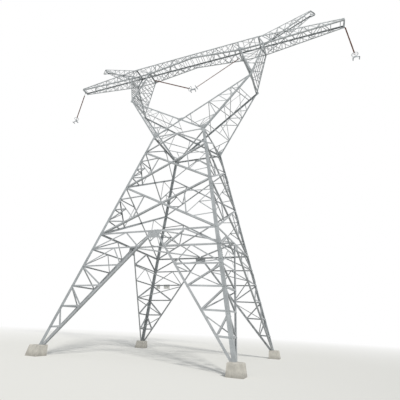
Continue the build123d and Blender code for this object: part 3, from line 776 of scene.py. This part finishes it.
class PYLON_OT_joint_bolts(bpy.types.Operator):
    """Bolts where the main members meet on the faces of the body, on the arms and on the crossarm"""

    bl_idname = "pylon.joint_bolts"
    bl_label = "Joint bolts"

    def execute(self, context):
        sizes = context.scene.pylon
        bolt = hex_bolt(sizes.bolt_radius, sizes.bolt_height)
        places = []
        for spot in body_bolt_places():
            places += [quartered(turn, on_face(*spot), -INWARD) for turn in QUARTERS]
        for row in JOINT_ROWS + LACED_ROWS:
            places += chord_places(*row)
        pieces = bolted(bolt, places)
        drop(bolt)
        finished(pieces, "joint_bolts", STEEL_BODY, "galvanised_steel")
        return {"FINISHED"}


def leg_members(stays):
    """Members of one face that end on a leg: height there, then x and height of the other end."""
    members = [(LEVELS[0], 0.0, LEVELS[0]), (WAIST, 0.0, WAIST)]
    for low, high in zip(LEVELS, LEVELS[1:]):
        members += [(low, -leg_half(high), high), (high, -leg_half(low), low)]
    members.append((LEVELS[2], 0.0, WAIST))
    members += [(z, stay, z) for z, stay in zip(RUNGS, stays)]
    members += [(z, stays[i + 2], RUNGS[i + 2]) for i, z in enumerate(RUNGS[1:4])]
    members.append((RUNGS[0], leg_half(LEVELS[0]) / 2, LEVELS[0]))
    return members


def body_bolt_places():
    """Bolts on one face of the body: (x, height, depth behind the face)."""
    foot_x = BASE_HALF - STAY_INSET
    stays = [foot_x - foot_x * (z - FOOTING_TOP) / (LEVELS[0] - FOOTING_TOP) for z in RUNGS]
    places = []
    for height, to_x, to_height in leg_members(stays):
        from_x = leg_half(height)
        slope = (to_height - height) / (to_x - from_x)
        for reach in MEMBER_BOLTS:
            places += [(side * (from_x - reach), height - slope * reach, 0.0) for side in (1, -1)]
    for z, x in zip(RUNGS, stays):
        places += [(side * (x + RUNG_BOLT), z, BRACING_DEPTH) for side in (1, -1)]
    for reach in HUB_BOLTS:
        places += [(side * reach, LEVELS[0], BRACING_DEPTH) for side in (1, -1)]
        x, z = share((0.0, LEVELS[0]), (foot_x, FOOTING_TOP), reach * STAY_SPREAD / STAY_LENGTH)
        places += [(side * (x + STAY_BOLT), z, BRACING_DEPTH) for side in (1, -1)]
    for low, high in zip(LEVELS, LEVELS[1:]):
        crossing = leg_half(low) / (leg_half(low) + leg_half(high))
        places.append((0.0, low + (high - low) * crossing, BRACING_DEPTH))
    waist_row = WAIST - CHORD_WIDTH / 2
    places += [(side * reach, waist_row, BRACING_DEPTH) for side in (1, -1) for reach in WAIST_BOLTS]
    return places


def lacing_row(start, end, inside, parts, width):
    """Row with a pair of bolts where each lacing bar meets a chord, at these parts of its length."""
    long = (end - start).length
    distances = [part * long + gap for part in parts for gap in (-PAIR_HALF, PAIR_HALF)]
    return (start, end, inside, distances, width)


# Rows of bolts on the near left quarter of the head: start, end, a point inside, distances and chord width
JOINT_ROWS = (
    (WAIST_LEFT, ELBOW, CROSSING, (0.06, 0.14, 0.22), WIDE_CHORD),
    (WAIST_LEFT, CROSSING, WAIST_RIGHT, (0.1, 0.2, 0.3), WIDE_CHORD),
    (CROSSING, WAIST_LEFT, WAIST_RIGHT, (0.1, 0.2), WIDE_CHORD),
    (CROSSING, ELBOW, WAIST_LEFT, (0.1, 0.2), WIDE_CHORD),
    (ELBOW, WAIST_LEFT, CROSSING, (0.1, 0.2, 0.3), WIDE_CHORD),
    (ELBOW, CROSSING, WAIST_LEFT, (0.42, 0.52, 0.62), WIDE_CHORD),
    (ELBOW, OUTER_LOW, INNER_LOW, (0.1, 0.2, 0.3), CHORD_WIDTH),
    (ELBOW, INNER_LOW, OUTER_LOW, (0.42, 0.52, 0.62), CHORD_WIDTH),
    (OUTER_LOW, INNER_LOW, OUTER_HIGH, (0.08, 0.16, 0.24), CHORD_WIDTH),
    (OUTER_LOW, OUTER_HIGH, INNER_LOW, (0.18, 0.26), CHORD_WIDTH),
    (OUTER_HIGH, OUTER_LOW, INNER_LOW, (0.18, 0.26), CHORD_WIDTH),
    (OUTER_HIGH, INNER_HIGH, INNER_LOW, (0.08, 0.16, 0.24), CHORD_WIDTH),
    (INNER_LOW, OUTER_LOW, OUTER_HIGH, (0.05, 0.13, 0.21), CHORD_WIDTH),
    (INNER_LOW, MID_LOW, INNER_HIGH, (0.05, 0.13, 0.21), CHORD_WIDTH),
    (MID_LOW, INNER_LOW, INNER_HIGH, (0.08, 0.16, 0.24), CHORD_WIDTH),
    (MID_HIGH, INNER_HIGH, INNER_LOW, (0.08, 0.16, 0.24), CHORD_WIDTH),
    (OUTER_LOW, TIP_LOW, OUTER_HIGH, (0.1, 0.2, 0.3), CHORD_WIDTH),
    (OUTER_HIGH, TIP_HIGH, OUTER_LOW, (0.1, 0.2, 0.3), CHORD_WIDTH),
    (TIP_LOW, OUTER_LOW, OUTER_HIGH, (0.06, 0.14), CHORD_WIDTH),
    (TIP_HIGH, OUTER_HIGH, OUTER_LOW, (0.06, 0.14), CHORD_WIDTH),
    (PEAK_TOP, PEAK_HIGH, PEAK_LOW, (0.06, 0.14), PEAK_CHORD),
    (PEAK_BOTTOM, PEAK_LOW, PEAK_HIGH, (0.06, 0.14), PEAK_CHORD),
)
LACED_ROWS = (
    lacing_row(WAIST_LEFT, ELBOW, CROSSING, (0.11, 0.235, 0.47, 0.593, 0.71), WIDE_CHORD),
    lacing_row(ELBOW, WAIST_RIGHT, WAIST_LEFT, (0.156, 0.25, 0.354, 0.452, 0.638, 0.87, 0.95), WIDE_CHORD),
    lacing_row(ELBOW, OUTER_LOW, INNER_LOW, (0.3, 0.55, 0.8), CHORD_WIDTH),
    lacing_row(ELBOW, INNER_LOW, OUTER_LOW, (0.42, 0.68, 0.93), CHORD_WIDTH),
    lacing_row(INNER_LOW, MID_LOW, INNER_HIGH, (0.31, 0.58, 0.86), CHORD_WIDTH),
    lacing_row(OUTER_HIGH, MID_HIGH, INNER_LOW, (0.295, 0.393, 0.596, 0.798), CHORD_WIDTH),
    lacing_row(OUTER_LOW, TIP_LOW, OUTER_HIGH, shares(0.1, 0.9, 8), CHORD_WIDTH),
    lacing_row(OUTER_HIGH, TIP_HIGH, OUTER_LOW, shares(0.06, 0.84, 8), CHORD_WIDTH),
    lacing_row(PEAK_LOW, PEAK_BOTTOM, PEAK_HIGH, shares(0.26, 0.9, 5), PEAK_CHORD),
    lacing_row(PEAK_HIGH, PEAK_TOP, PEAK_LOW, shares(0.07, 0.85, 6), PEAK_CHORD),
)


class PYLON_OT_gussets(bpy.types.Operator):
    """Corner plates behind the members at the waist and the crossarm"""

    bl_idname = "pylon.gussets"
    bl_label = "Gussets"

    def execute(self, context):
        template = gusset(context.scene.pylon.gusset_thick)
        waist_middle = Vector((0, -WAIST_HALF, WAIST))
        pieces = cornered(template, WAIST_LEFT, (LEG_FOOT, waist_middle), WAIST_GUSSET, BEHIND_BRACING)
        pieces += cornered(template, WAIST_LEFT, (ELBOW, CROSSING), WAIST_GUSSET, BEHIND_CHORD)
        pieces += cornered(template, OUTER_HIGH, (OUTER_LOW, INNER_HIGH), CORNER_GUSSET, BEHIND_CHORD)
        drop(template)
        finished(pieces, "gussets", STEEL_BODY, "galvanised_steel")
        return {"FINISHED"}


def cornered(template, corner, ends, reach, depth):
    """Gussets that far behind their faces, in the corner between the members that run from it to the two
    ends, and in its mirror images."""
    plates = []
    for side in (1, -1):
        for far_side in (1, -1):
            at, first, second = mirrored((corner, *ends), side, far_side)
            a, b = (first - at).normalized(), (second - at).normalized()
            normal = a.cross(b).normalized()
            if normal.y * at.y < 0:
                a, b, normal = b, a, -normal
            plates.append(copied(template, frame_matrix(a * reach, b * reach, normal, at - normal * depth)))
    return plates


class PYLON_OT_peak_arms(bpy.types.Operator):
    """Angles that run from the peaks' chords to the holes beyond their tips"""

    bl_idname = "pylon.peak_arms"
    bl_label = "Peak arms"

    def execute(self, context):
        sizes = context.scene.pylon
        template = light_angle(sizes.redundant_width, sizes.redundant_thick)
        bolt = hex_bolt(sizes.bolt_radius, sizes.bolt_height)
        bars = four_ways([(*ends, PEAK_ARM_NORMAL) for ends in PEAK_ARMS])
        pieces = lay(template, bars) + bolted(bolt, bar_ends(bars, sizes.redundant_thick))
        drop(template, bolt)
        finished(pieces, "peak_arms", STEEL_BODY, "galvanised_steel")
        return {"FINISHED"}


class PYLON_OT_clamp_fittings(bpy.types.Operator):
    """Keepers, bell mouths and bolts of the strings' clamps, and the pins of the yokes"""

    bl_idname = "pylon.clamp_fittings"
    bl_label = "Clamp fittings"

    def execute(self, context):
        templates = {
            "bolt": hex_bolt(*CLAMP_BOLT_SIZE),
            "pin": hex_bolt(*YOKE_PIN_SIZE),
            "keeper": cover_plate(*KEEPER_SIZE),
            "mouth": bell_mouth(),
        }
        for body, middle_x, clamp_z in CLAMPS:
            pieces = []
            for side in (1, -1):
                centre = Vector((middle_x + side * CLAMP_SPREAD, 0, clamp_z))
                for end in (1, -1):
                    pieces += half_clamp(templates, centre, end)
            finished(pieces, f"{body}_clamp_fittings", body, "forged_steel")
        drop(*templates.values())
        return {"FINISHED"}


def half_clamp(templates, centre, end):
    """Fittings at the near or the far end of one clamp, about the middle of its bore."""
    turn = Matrix.Rotation(math.radians(-90 * end), 4, "X")
    narrow = Matrix.Scale(KEEPER_NARROWED, 4, (0, 1, 0))
    lip = Matrix.Translation(centre + Vector((0, end * CLAMP_END, 0)))
    pieces = [copied(templates["mouth"], lip @ turn)]
    for y in KEEPERS:
        top = centre + Vector((0, end * y, CLAMP_TOP))
        pieces.append(copied(templates["keeper"], Matrix.Translation(top) @ narrow))
        for x in (KEEPER_BOLT, -KEEPER_BOLT):
            pieces.append(copied(templates["bolt"], Matrix.Translation(top + Vector((x, 0, KEEPER_TOP)))))
    yoke = Matrix.Translation(centre + Vector((0, end * YOKE_FACE, YOKE_PIN_RISE)))
    return pieces + [copied(templates["pin"], yoke @ turn)]


class PYLON_OT_insulators(bpy.types.Operator):
    """Composite insulators: a rubber sheath with large and small sheds in turn"""

    bl_idname = "pylon.insulators"
    bl_label = "Insulators"

    def execute(self, context):
        sizes = context.scene.pylon
        core = sizes.sheath_radius
        inside_sheath = core * 0.9
        radii = (sizes.shed_radius, sizes.small_shed_radius)
        templates = [shed(radius, inside_sheath, sizes.shed_sides) for radius in radii]
        for body in STRINGS:
            node = "v_string_insulators" if body == "v_string" else f"{body}_insulator"
            pieces = []
            for top, bottom in rod_ends(body, node):
                pieces += shed_row(templates, top, bottom, sizes.shed_pitch)
                pieces.append(sheath(top, bottom, core, sizes.shed_sides))
            finished(pieces, f"{body}_sheds", body, "silicone_rubber", nodes=[node])
        drop(*templates)
        return {"FINISHED"}


def rod_ends(body, node):
    """Top and bottom of each rod of a string, from the frame's own boxes."""
    low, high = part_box(node)
    if body != "v_string":
        middle = (low + high) / 2
        return [(Vector((middle.x, 0, high.z)), Vector((middle.x, 0, low.z)))]
    radius = high.y
    slope = V_RUN.normalized()
    flat = Vector((slope.z, 0, -slope.x)) * radius
    left_top = Vector((low.x + abs(flat.x), 0, high.z - abs(flat.z)))
    return [(flipped(left_top, side), flipped(left_top, side) + flipped(V_RUN, side)) for side in (1, -1)]


def shed_row(templates, top, bottom, pitch):
    """Large and small sheds in turn, evenly down the rod and clear of its ends."""
    run = (bottom - top).normalized()
    turn = (-run).to_track_quat("Z", "Y").to_matrix().to_4x4()
    count = int((bottom - top).length / pitch) - 1
    start = ((bottom - top).length - (count - 1) * pitch) / 2
    places = [Matrix.Translation(top + run * (start + k * pitch)) @ turn for k in range(count)]
    return [copied(templates[k % 2], place) for k, place in enumerate(places)]


class PYLON_OT_grading_rings(bpy.types.Operator):
    """Smooth aluminium rings about the lower sockets"""

    bl_idname = "pylon.grading_rings"
    bl_label = "Grading rings"

    def execute(self, context):
        template = grading_ring(context.scene.pylon)
        for body in STRINGS:
            node = "v_string_rings" if body == "v_string" else f"{body}_ring"
            pieces = [copied(template, matrix) for matrix in ring_places(body, node)]
            finished(pieces, f"{body}_grading", body, "ring_aluminium", nodes=[node])
        drop(template)
        return {"FINISHED"}


def ring_places(body, node):
    """Where each ring of a string sits, its axis on the string."""
    low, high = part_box(node)
    if body != "v_string":
        return [Matrix.Translation((low + high) / 2)]
    places = []
    for side in (1, -1):
        run = flipped(V_RUN.normalized(), side)
        middle = flipped(V_PIN, side) + run * (V_ROD + RING_BELOW_ROD)
        across = Vector((0, 1, 0))
        places.append(frame_matrix(across, (-run).cross(across), -run, middle))
    return places


class PYLON_OT_sign_plates(bpy.types.Operator):
    """Two bare enamelled plates on the bracing of a back leg"""

    bl_idname = "pylon.sign_plates"
    bl_label = "Bare plates"

    def execute(self, context):
        sizes = context.scene.pylon
        across = Vector((-1, 0, 0))
        outward = flipped(-INWARD, 1, -1)
        pieces = []
        for low_x, high_x in PLATE_SPANS:
            middle = Vector(((low_x + high_x) / 2, leg_half(PLATE_HEIGHT), PLATE_HEIGHT))
            back = middle - outward * LEG_THICK
            plate = cover_plate(high_x - low_x, sizes.sign_size, PLATE_THICK)
            plate.data.transform(frame_matrix(across, outward.cross(across), outward, back))
            pieces.append(plate)
        finished(pieces, "bare_plates", STEEL_BODY, "galvanised_steel", finish="white_enamel")
        return {"FINISHED"}


# Materials


def add(tree, kind, inputs=(), links=(), stops=(), **settings):
    """Add a node: settings, input values, links as (input, other node, output), and a ramp's stops."""
    node = tree.nodes.new(f"ShaderNode{kind}")
    for name, value in settings.items():
        setattr(node, name, value)
    for name, value in dict(inputs).items():
        node.inputs[name].default_value = value
    for name, source, output in links:
        tree.links.new(source.outputs[output], node.inputs[name])
    for i, (position, tint) in enumerate(stops):
        node.color_ramp.elements[i].position = position
        node.color_ramp.elements[i].color = tint
    return node


def blank(name):
    """A new material with no nodes, and its node tree."""
    made = bpy.data.materials.new(name)
    made.use_nodes = True
    made.node_tree.nodes.clear()
    return made, made.node_tree


def shaded(rgba, factor):
    """A colour made darker or lighter."""
    return [c * factor for c in rgba[:3]] + [1.0]


def every(millimetres):
    """Scale of a texture whose marks are that far apart."""
    return 1000 / millimetres


# Names of the values of a range, in the order in which they are given
RANGE = ("From Min", "From Max", "To Min", "To Max")


def galvanised(name, base, metallic, dull):
    """Hot-dip galvanised steel, rolled and dipped: zinc that has weathered to a matt pale grey, with faint
    spangle, paler runs and duller patches. The spangle is about 30 mm wide here, not 10, so that it shows."""
    made, tree = blank(name)
    place = [("Vector", add(tree, "TexCoord"), "Object")]
    spangle = add(tree, "TexVoronoi", {"Scale": every(30)}, place)
    patch = add(tree, "TexNoise", {"Scale": every(700), "Detail": 5, "Roughness": 0.6}, place)
    squeeze = add(tree, "Mapping", {"Scale": (every(50), every(50), every(900))}, place)
    runs = add(tree, "TexNoise", {"Scale": 1, "Detail": 3}, [("Vector", squeeze, "Vector")])
    grain = add(tree, "MixRGB", {"Fac": 0.35, "Color1": (0.5, 0.5, 0.5, 1)}, [("Color2", spangle, "Color")])
    tone = add(tree, "RGBToBW", (), [("Color", grain, "Color")])
    spots = add(tree, "MapRange", zip(RANGE, (0.35, 0.65, 0.94, 1.04)), [("Value", tone, "Val")])
    weathering = ((0.35, shaded(base, 0.8)), (0.66, shaded(base, 1.08)))
    worn = add(tree, "ValToRGB", (), [("Fac", patch, "Fac")], weathering)
    streaks = add(tree, "MapRange", zip(RANGE, (0.3, 0.7, 0.9, 1.05)), [("Value", runs, "Fac")])
    both = add(tree, "Math", (), [(0, spots, "Result"), (1, streaks, "Result")], operation="MULTIPLY")
    layers = [("Color1", worn, "Color"), ("Color2", both, "Value")]
    tint = add(tree, "MixRGB", {"Fac": 1.0}, layers, blend_type="MULTIPLY")
    rough = add(tree, "MapRange", zip(RANGE, (0.3, 0.7, dull - 0.08, dull + 0.1)), [("Value", patch, "Fac")])
    relief = add(tree, "Bump", {"Strength": 0.15, "Distance": 0.001}, [("Height", spangle, "Distance")])
    surface = add(
        tree,
        "BsdfPrincipled",
        {"Metallic": metallic},
        [("Base Color", tint, "Color"), ("Roughness", rough, "Result"), ("Normal", relief, "Normal")],
    )
    add(tree, "OutputMaterial", (), [("Surface", surface, "BSDF")])
    return made


def cast_concrete(name, base):
    """Cast concrete, struck from a form of boards: pale, matt and pitted, darker at its foot where damp rises
    in it, with lines 75 mm apart from the boards. Its sand of 2 mm is drawn as 8 mm, so that it shows."""
    made, tree = blank(name)
    place = [("Vector", add(tree, "TexCoord"), "Object")]
    stain = add(tree, "TexNoise", {"Scale": every(180), "Detail": 6, "Roughness": 0.65}, place)
    sand = add(tree, "TexNoise", {"Scale": every(8), "Detail": 2}, place)
    pits = add(tree, "TexVoronoi", {"Scale": every(35)}, place)
    parts = add(tree, "SeparateXYZ", (), place)
    damp = add(tree, "MapRange", zip(RANGE, (0.02, 0.2, 0.72, 1.0)), [("Value", parts, "Z")])
    staining = ((0.3, shaded(base, 0.74)), (0.7, shaded(base, 1.08)))
    tone = add(tree, "ValToRGB", (), [("Fac", stain, "Fac")], staining)
    grains = add(tree, "MapRange", zip(RANGE, (0.3, 0.7, 0.9, 1.06)), [("Value", sand, "Fac")])
    both = add(tree, "Math", (), [(0, damp, "Result"), (1, grains, "Result")], operation="MULTIPLY")
    layers = [("Color1", tone, "Color"), ("Color2", both, "Value")]
    tint = add(tree, "MixRGB", {"Fac": 1.0}, layers, blend_type="MULTIPLY")
    # A wave texture repeats every 0.314 of its scale, so these lines are 75 mm apart
    boards = add(tree, "TexWave", {"Scale": every(240), "Distortion": 0.4}, place, bands_direction="Z")
    pitted = [(0, boards, "Fac"), (1, pits, "Distance")]
    height = add(tree, "Math", {2: 0.0}, pitted, operation="MULTIPLY_ADD")
    relief = add(tree, "Bump", {"Strength": 0.35, "Distance": 0.004}, [("Height", height, "Value")])
    surface = add(
        tree,
        "BsdfPrincipled",
        {"Roughness": 0.9, "IOR": 1.5},
        [("Base Color", tint, "Color"), ("Normal", relief, "Normal")],
    )
    add(tree, "OutputMaterial", (), [("Surface", surface, "BSDF")])
    return made


def silicone(name, base):
    """Moulded silicone rubber, red-brown: a soft satin that dust turns greyer on its upper sides."""
    made, tree = blank(name)
    place = [("Vector", add(tree, "TexCoord"), "Object")]
    parts = add(tree, "SeparateXYZ", (), [("Vector", add(tree, "NewGeometry"), "Normal")])
    cloud = add(tree, "TexNoise", {"Scale": every(250), "Detail": 4}, place)
    dust = add(tree, "MapRange", zip(RANGE, (0.1, 1.0, 0.0, 0.3)), [("Value", parts, "Z")])
    amount = add(tree, "Math", (), [(0, dust, "Result"), (1, cloud, "Fac")], operation="MULTIPLY")
    tint = add(tree, "MixRGB", {"Color1": base, "Color2": linear("#A79A92")}, [("Fac", amount, "Value")])
    surface = add(tree, "BsdfPrincipled", {"Roughness": 0.48, "IOR": 1.41}, [("Base Color", tint, "Color")])
    add(tree, "OutputMaterial", (), [("Surface", surface, "BSDF")])
    return made


def spun_metal(name, base, rough, mark_width):
    """Forged and dipped fittings, or bent aluminium tube: brighter than the lattice, with handling marks."""
    made, tree = blank(name)
    place = [("Vector", add(tree, "TexCoord"), "Object")]
    marks = add(tree, "TexNoise", {"Scale": every(mark_width), "Detail": 4, "Roughness": 0.7}, place)
    spread = (0.3, 0.7, rough - 0.08, rough + 0.12)
    dullness = add(tree, "MapRange", zip(RANGE, spread), [("Value", marks, "Fac")])
    tone = add(tree, "ValToRGB", (), [("Fac", marks, "Fac")], ((0.0, shaded(base, 0.85)), (1.0, base)))
    surface = add(
        tree,
        "BsdfPrincipled",
        {"Metallic": 0.85},
        [("Base Color", tone, "Color"), ("Roughness", dullness, "Result")],
    )
    add(tree, "OutputMaterial", (), [("Surface", surface, "BSDF")])
    return made


def enamel(name, base):
    """Vitreous enamel on sheet steel: clean white with a faint film of dirt that runs down."""
    made, tree = blank(name)
    place = [("Vector", add(tree, "TexCoord"), "Object")]
    squeeze = add(tree, "Mapping", {"Scale": (every(30), every(30), every(400))}, place)
    film = add(tree, "TexNoise", {"Scale": 1, "Detail": 4}, [("Vector", squeeze, "Vector")])
    tone = add(tree, "ValToRGB", (), [("Fac", film, "Fac")], ((0.3, shaded(base, 0.88)), (1.0, base)))
    surface = add(tree, "BsdfPrincipled", {"Roughness": 0.25, "IOR": 1.52}, [("Base Color", tone, "Color")])
    add(tree, "OutputMaterial", (), [("Surface", surface, "BSDF")])
    return made


def material(name):
    """The finish of that name, made at its first use; the frame's own plain materials keep their names."""
    label = f"{name}_finish"
    if label not in bpy.data.materials:
        new_finish(name).name = label
    return bpy.data.materials[label]


def new_finish(name):
    sizes = bpy.context.scene.pylon
    if name == "galvanised_steel":
        return galvanised(name, list(sizes.steel_colour), metallic=0.5, dull=0.5)
    if name == "galvanised_bracing":
        return galvanised(name, list(sizes.bracing_colour), metallic=0.45, dull=0.52)
    if name == "concrete":
        return cast_concrete(name, list(sizes.concrete_colour))
    if name == "silicone_rubber":
        return silicone(name, list(sizes.rubber_colour))
    if name == "forged_steel":
        return spun_metal(name, linear("#A2A7AA"), rough=0.38, mark_width=30)
    if name == "ring_aluminium":
        return spun_metal(name, linear("#B3B7BA"), rough=0.28, mark_width=50)
    if name == "white_enamel":
        return enamel(name, linear("#F4F4F0"))
    raise ValueError(f"no finish named {name}")


class PYLON_OT_finishes(bpy.types.Operator):
    """Finishes of the frame's own pieces, by their names"""

    bl_idname = "pylon.finishes"
    bl_label = "Finishes"

    def execute(self, context):
        for name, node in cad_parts.items():
            node.data.materials.clear()
            node.data.materials.append(material(finish_of(name)))
        return {"FINISHED"}


def finish_of(name):
    """Which finish a node of the frame has."""
    if name.endswith("footing"):
        return "concrete"
    if "insulator" in name:
        return "silicone_rubber"
    if "fittings" in name:
        return "forged_steel"
    if name.endswith(("string_ring", "string_rings")):
        return "ring_aluminium"
    if "lacing" in name or "bracing" in name:
        return "galvanised_bracing"
    return "galvanised_steel"


class PYLON_OT_studio(bpy.types.Operator):
    """Pale floor, soft light, white background and the camera of the picture"""

    bl_idname = "pylon.studio"
    bl_label = "Studio"

    def execute(self, context):
        floor = studio_floor(context.scene.pylon)
        studio_light(context.scene)
        studio_camera(context.scene)
        return {"FINISHED"}


def studio_floor(sizes):
    """Pale matt floor, which fades to the white of the background far from the tower."""
    make = bpy.ops.mesh.primitive_circle_add
    floor = primitive(make, vertices=96, radius=900, fill_type="NGON", location=(0, 0, 0))
    floor.name = "studio_floor"
    made, tree = blank("studio_floor")
    place = add(tree, "TexCoord")
    distance = add(tree, "VectorMath", (), [(0, place, "Object")], operation="LENGTH")
    fade = add(tree, "MapRange", {"From Min": 12.0, "From Max": 60.0}, [("Value", distance, "Value")])
    ray = add(tree, "LightPath")
    seen = add(tree, "Math", (), [(0, ray, "Is Camera Ray"), (1, ray, "Is Glossy Ray")], operation="MAXIMUM")
    amount = add(tree, "Math", (), [(0, fade, "Result"), (1, seen, "Value")], operation="MULTIPLY")
    matt = add(tree, "BsdfDiffuse", {"Color": list(sizes.floor_colour), "Roughness": 0.5})
    white = add(tree, "Emission")
    layers = [(0, amount, "Value"), (1, matt, "BSDF"), (2, white, "Emission")]
    mix = add(tree, "MixShader", (), layers)
    add(tree, "OutputMaterial", (), [("Surface", mix, "Shader")])
    floor.data.materials.append(made)
    return floor


def studio_light(scene):
    """Soft light from all round that is seen as white, and a sun lamp from the front right."""
    world = bpy.data.worlds.new("studio")
    scene.world = world
    world.use_nodes = True
    tree = world.node_tree
    tree.nodes.clear()
    ray = add(tree, "LightPath")
    two_kinds = [(0, ray, "Is Camera Ray"), (1, ray, "Is Glossy Ray")]
    either = add(tree, "Math", (), two_kinds, operation="MAXIMUM")
    three_kinds = [(0, either, "Value"), (1, ray, "Is Transmission Ray")]
    seen = add(tree, "Math", (), three_kinds, operation="MAXIMUM")
    soft = add(tree, "Background", {"Color": (0.93, 0.96, 1.0, 1), "Strength": 0.5})
    white = add(tree, "Background", {"Color": (1, 1, 1, 1), "Strength": 1.0})
    layers = [(0, seen, "Value"), (1, soft, "Background"), (2, white, "Background")]
    mix = add(tree, "MixShader", (), layers)
    add(tree, "OutputWorld", (), [("Surface", mix, "Shader")])
    bpy.ops.object.select_all(action="DESELECT")
    bpy.ops.object.light_add(type="SUN", location=(30, -20, 40))
    key = bpy.context.object
    key.name = "key"
    key.data.energy = 2.0
    key.data.angle = math.radians(8)
    key.data.color = (1.0, 0.97, 0.93)
    key.rotation_euler = SUN_SIDE.to_track_quat("Z", "Y").to_euler()


def studio_camera(scene):
    """Eye height, looking up at the tower, as the picture was taken."""
    yaw, pitch, roll = (math.radians(turn) for turn in CAMERA_TURNS)
    ahead = Vector((math.sin(yaw) * math.cos(pitch), math.cos(yaw) * math.cos(pitch), math.sin(pitch)))
    level = Vector((math.cos(yaw), -math.sin(yaw), 0))
    up = level.cross(ahead)
    right = level * math.cos(roll) + up * math.sin(roll)
    top = up * math.cos(roll) - level * math.sin(roll)
    bpy.ops.object.select_all(action="DESELECT")
    bpy.ops.object.camera_add()
    camera = bpy.context.object
    camera.name = "camera"
    camera.data.lens = LENS
    camera.data.sensor_width = SENSOR
    camera.data.shift_y = SHIFT_Y
    camera.data.clip_end = 2000
    camera.matrix_world = frame_matrix(right, top, -ahead, CAMERA_AT)
    scene.camera = camera
    scene.view_settings.view_transform = "Standard"


class PYLON_PT_panel(bpy.types.Panel):
    """Lists the steps that dress the pylon"""

    bl_label = "Pylon"
    bl_space_type = "VIEW_3D"
    bl_region_type = "UI"
    bl_category = "Pylon"

    def draw(self, context):
        layout = self.layout
        for step in STEPS:
            layout.operator(step.bl_idname)
        for name in PylonSizes.__annotations__:
            layout.prop(context.scene.pylon, name)


STEPS = (
    PYLON_OT_finishes,
    PYLON_OT_redundants,
    PYLON_OT_leg_splices,
    PYLON_OT_head_lacing,
    PYLON_OT_joint_bolts,
    PYLON_OT_gussets,
    PYLON_OT_peak_arms,
    PYLON_OT_clamp_fittings,
    PYLON_OT_insulators,
    PYLON_OT_grading_rings,
    PYLON_OT_sign_plates,
    PYLON_OT_studio,
)
CLASSES = (PylonSizes,) + STEPS + (PYLON_PT_panel,)


def register():
    for cls in CLASSES:
        bpy.utils.register_class(cls)
    bpy.types.Scene.pylon = PointerProperty(type=PylonSizes)


def unregister():
    del bpy.types.Scene.pylon
    for cls in reversed(CLASSES):
        bpy.utils.unregister_class(cls)


def main():
    register()
    bpy.ops.pylon.finishes()
    bpy.ops.pylon.redundants()
    bpy.ops.pylon.leg_splices()
    bpy.ops.pylon.head_lacing()
    bpy.ops.pylon.joint_bolts()
    bpy.ops.pylon.gussets()
    bpy.ops.pylon.peak_arms()
    bpy.ops.pylon.clamp_fittings()
    bpy.ops.pylon.insulators()
    bpy.ops.pylon.grading_rings()
    bpy.ops.pylon.sign_plates()
    bpy.ops.pylon.studio()


if __name__ == "__main__":
    main()
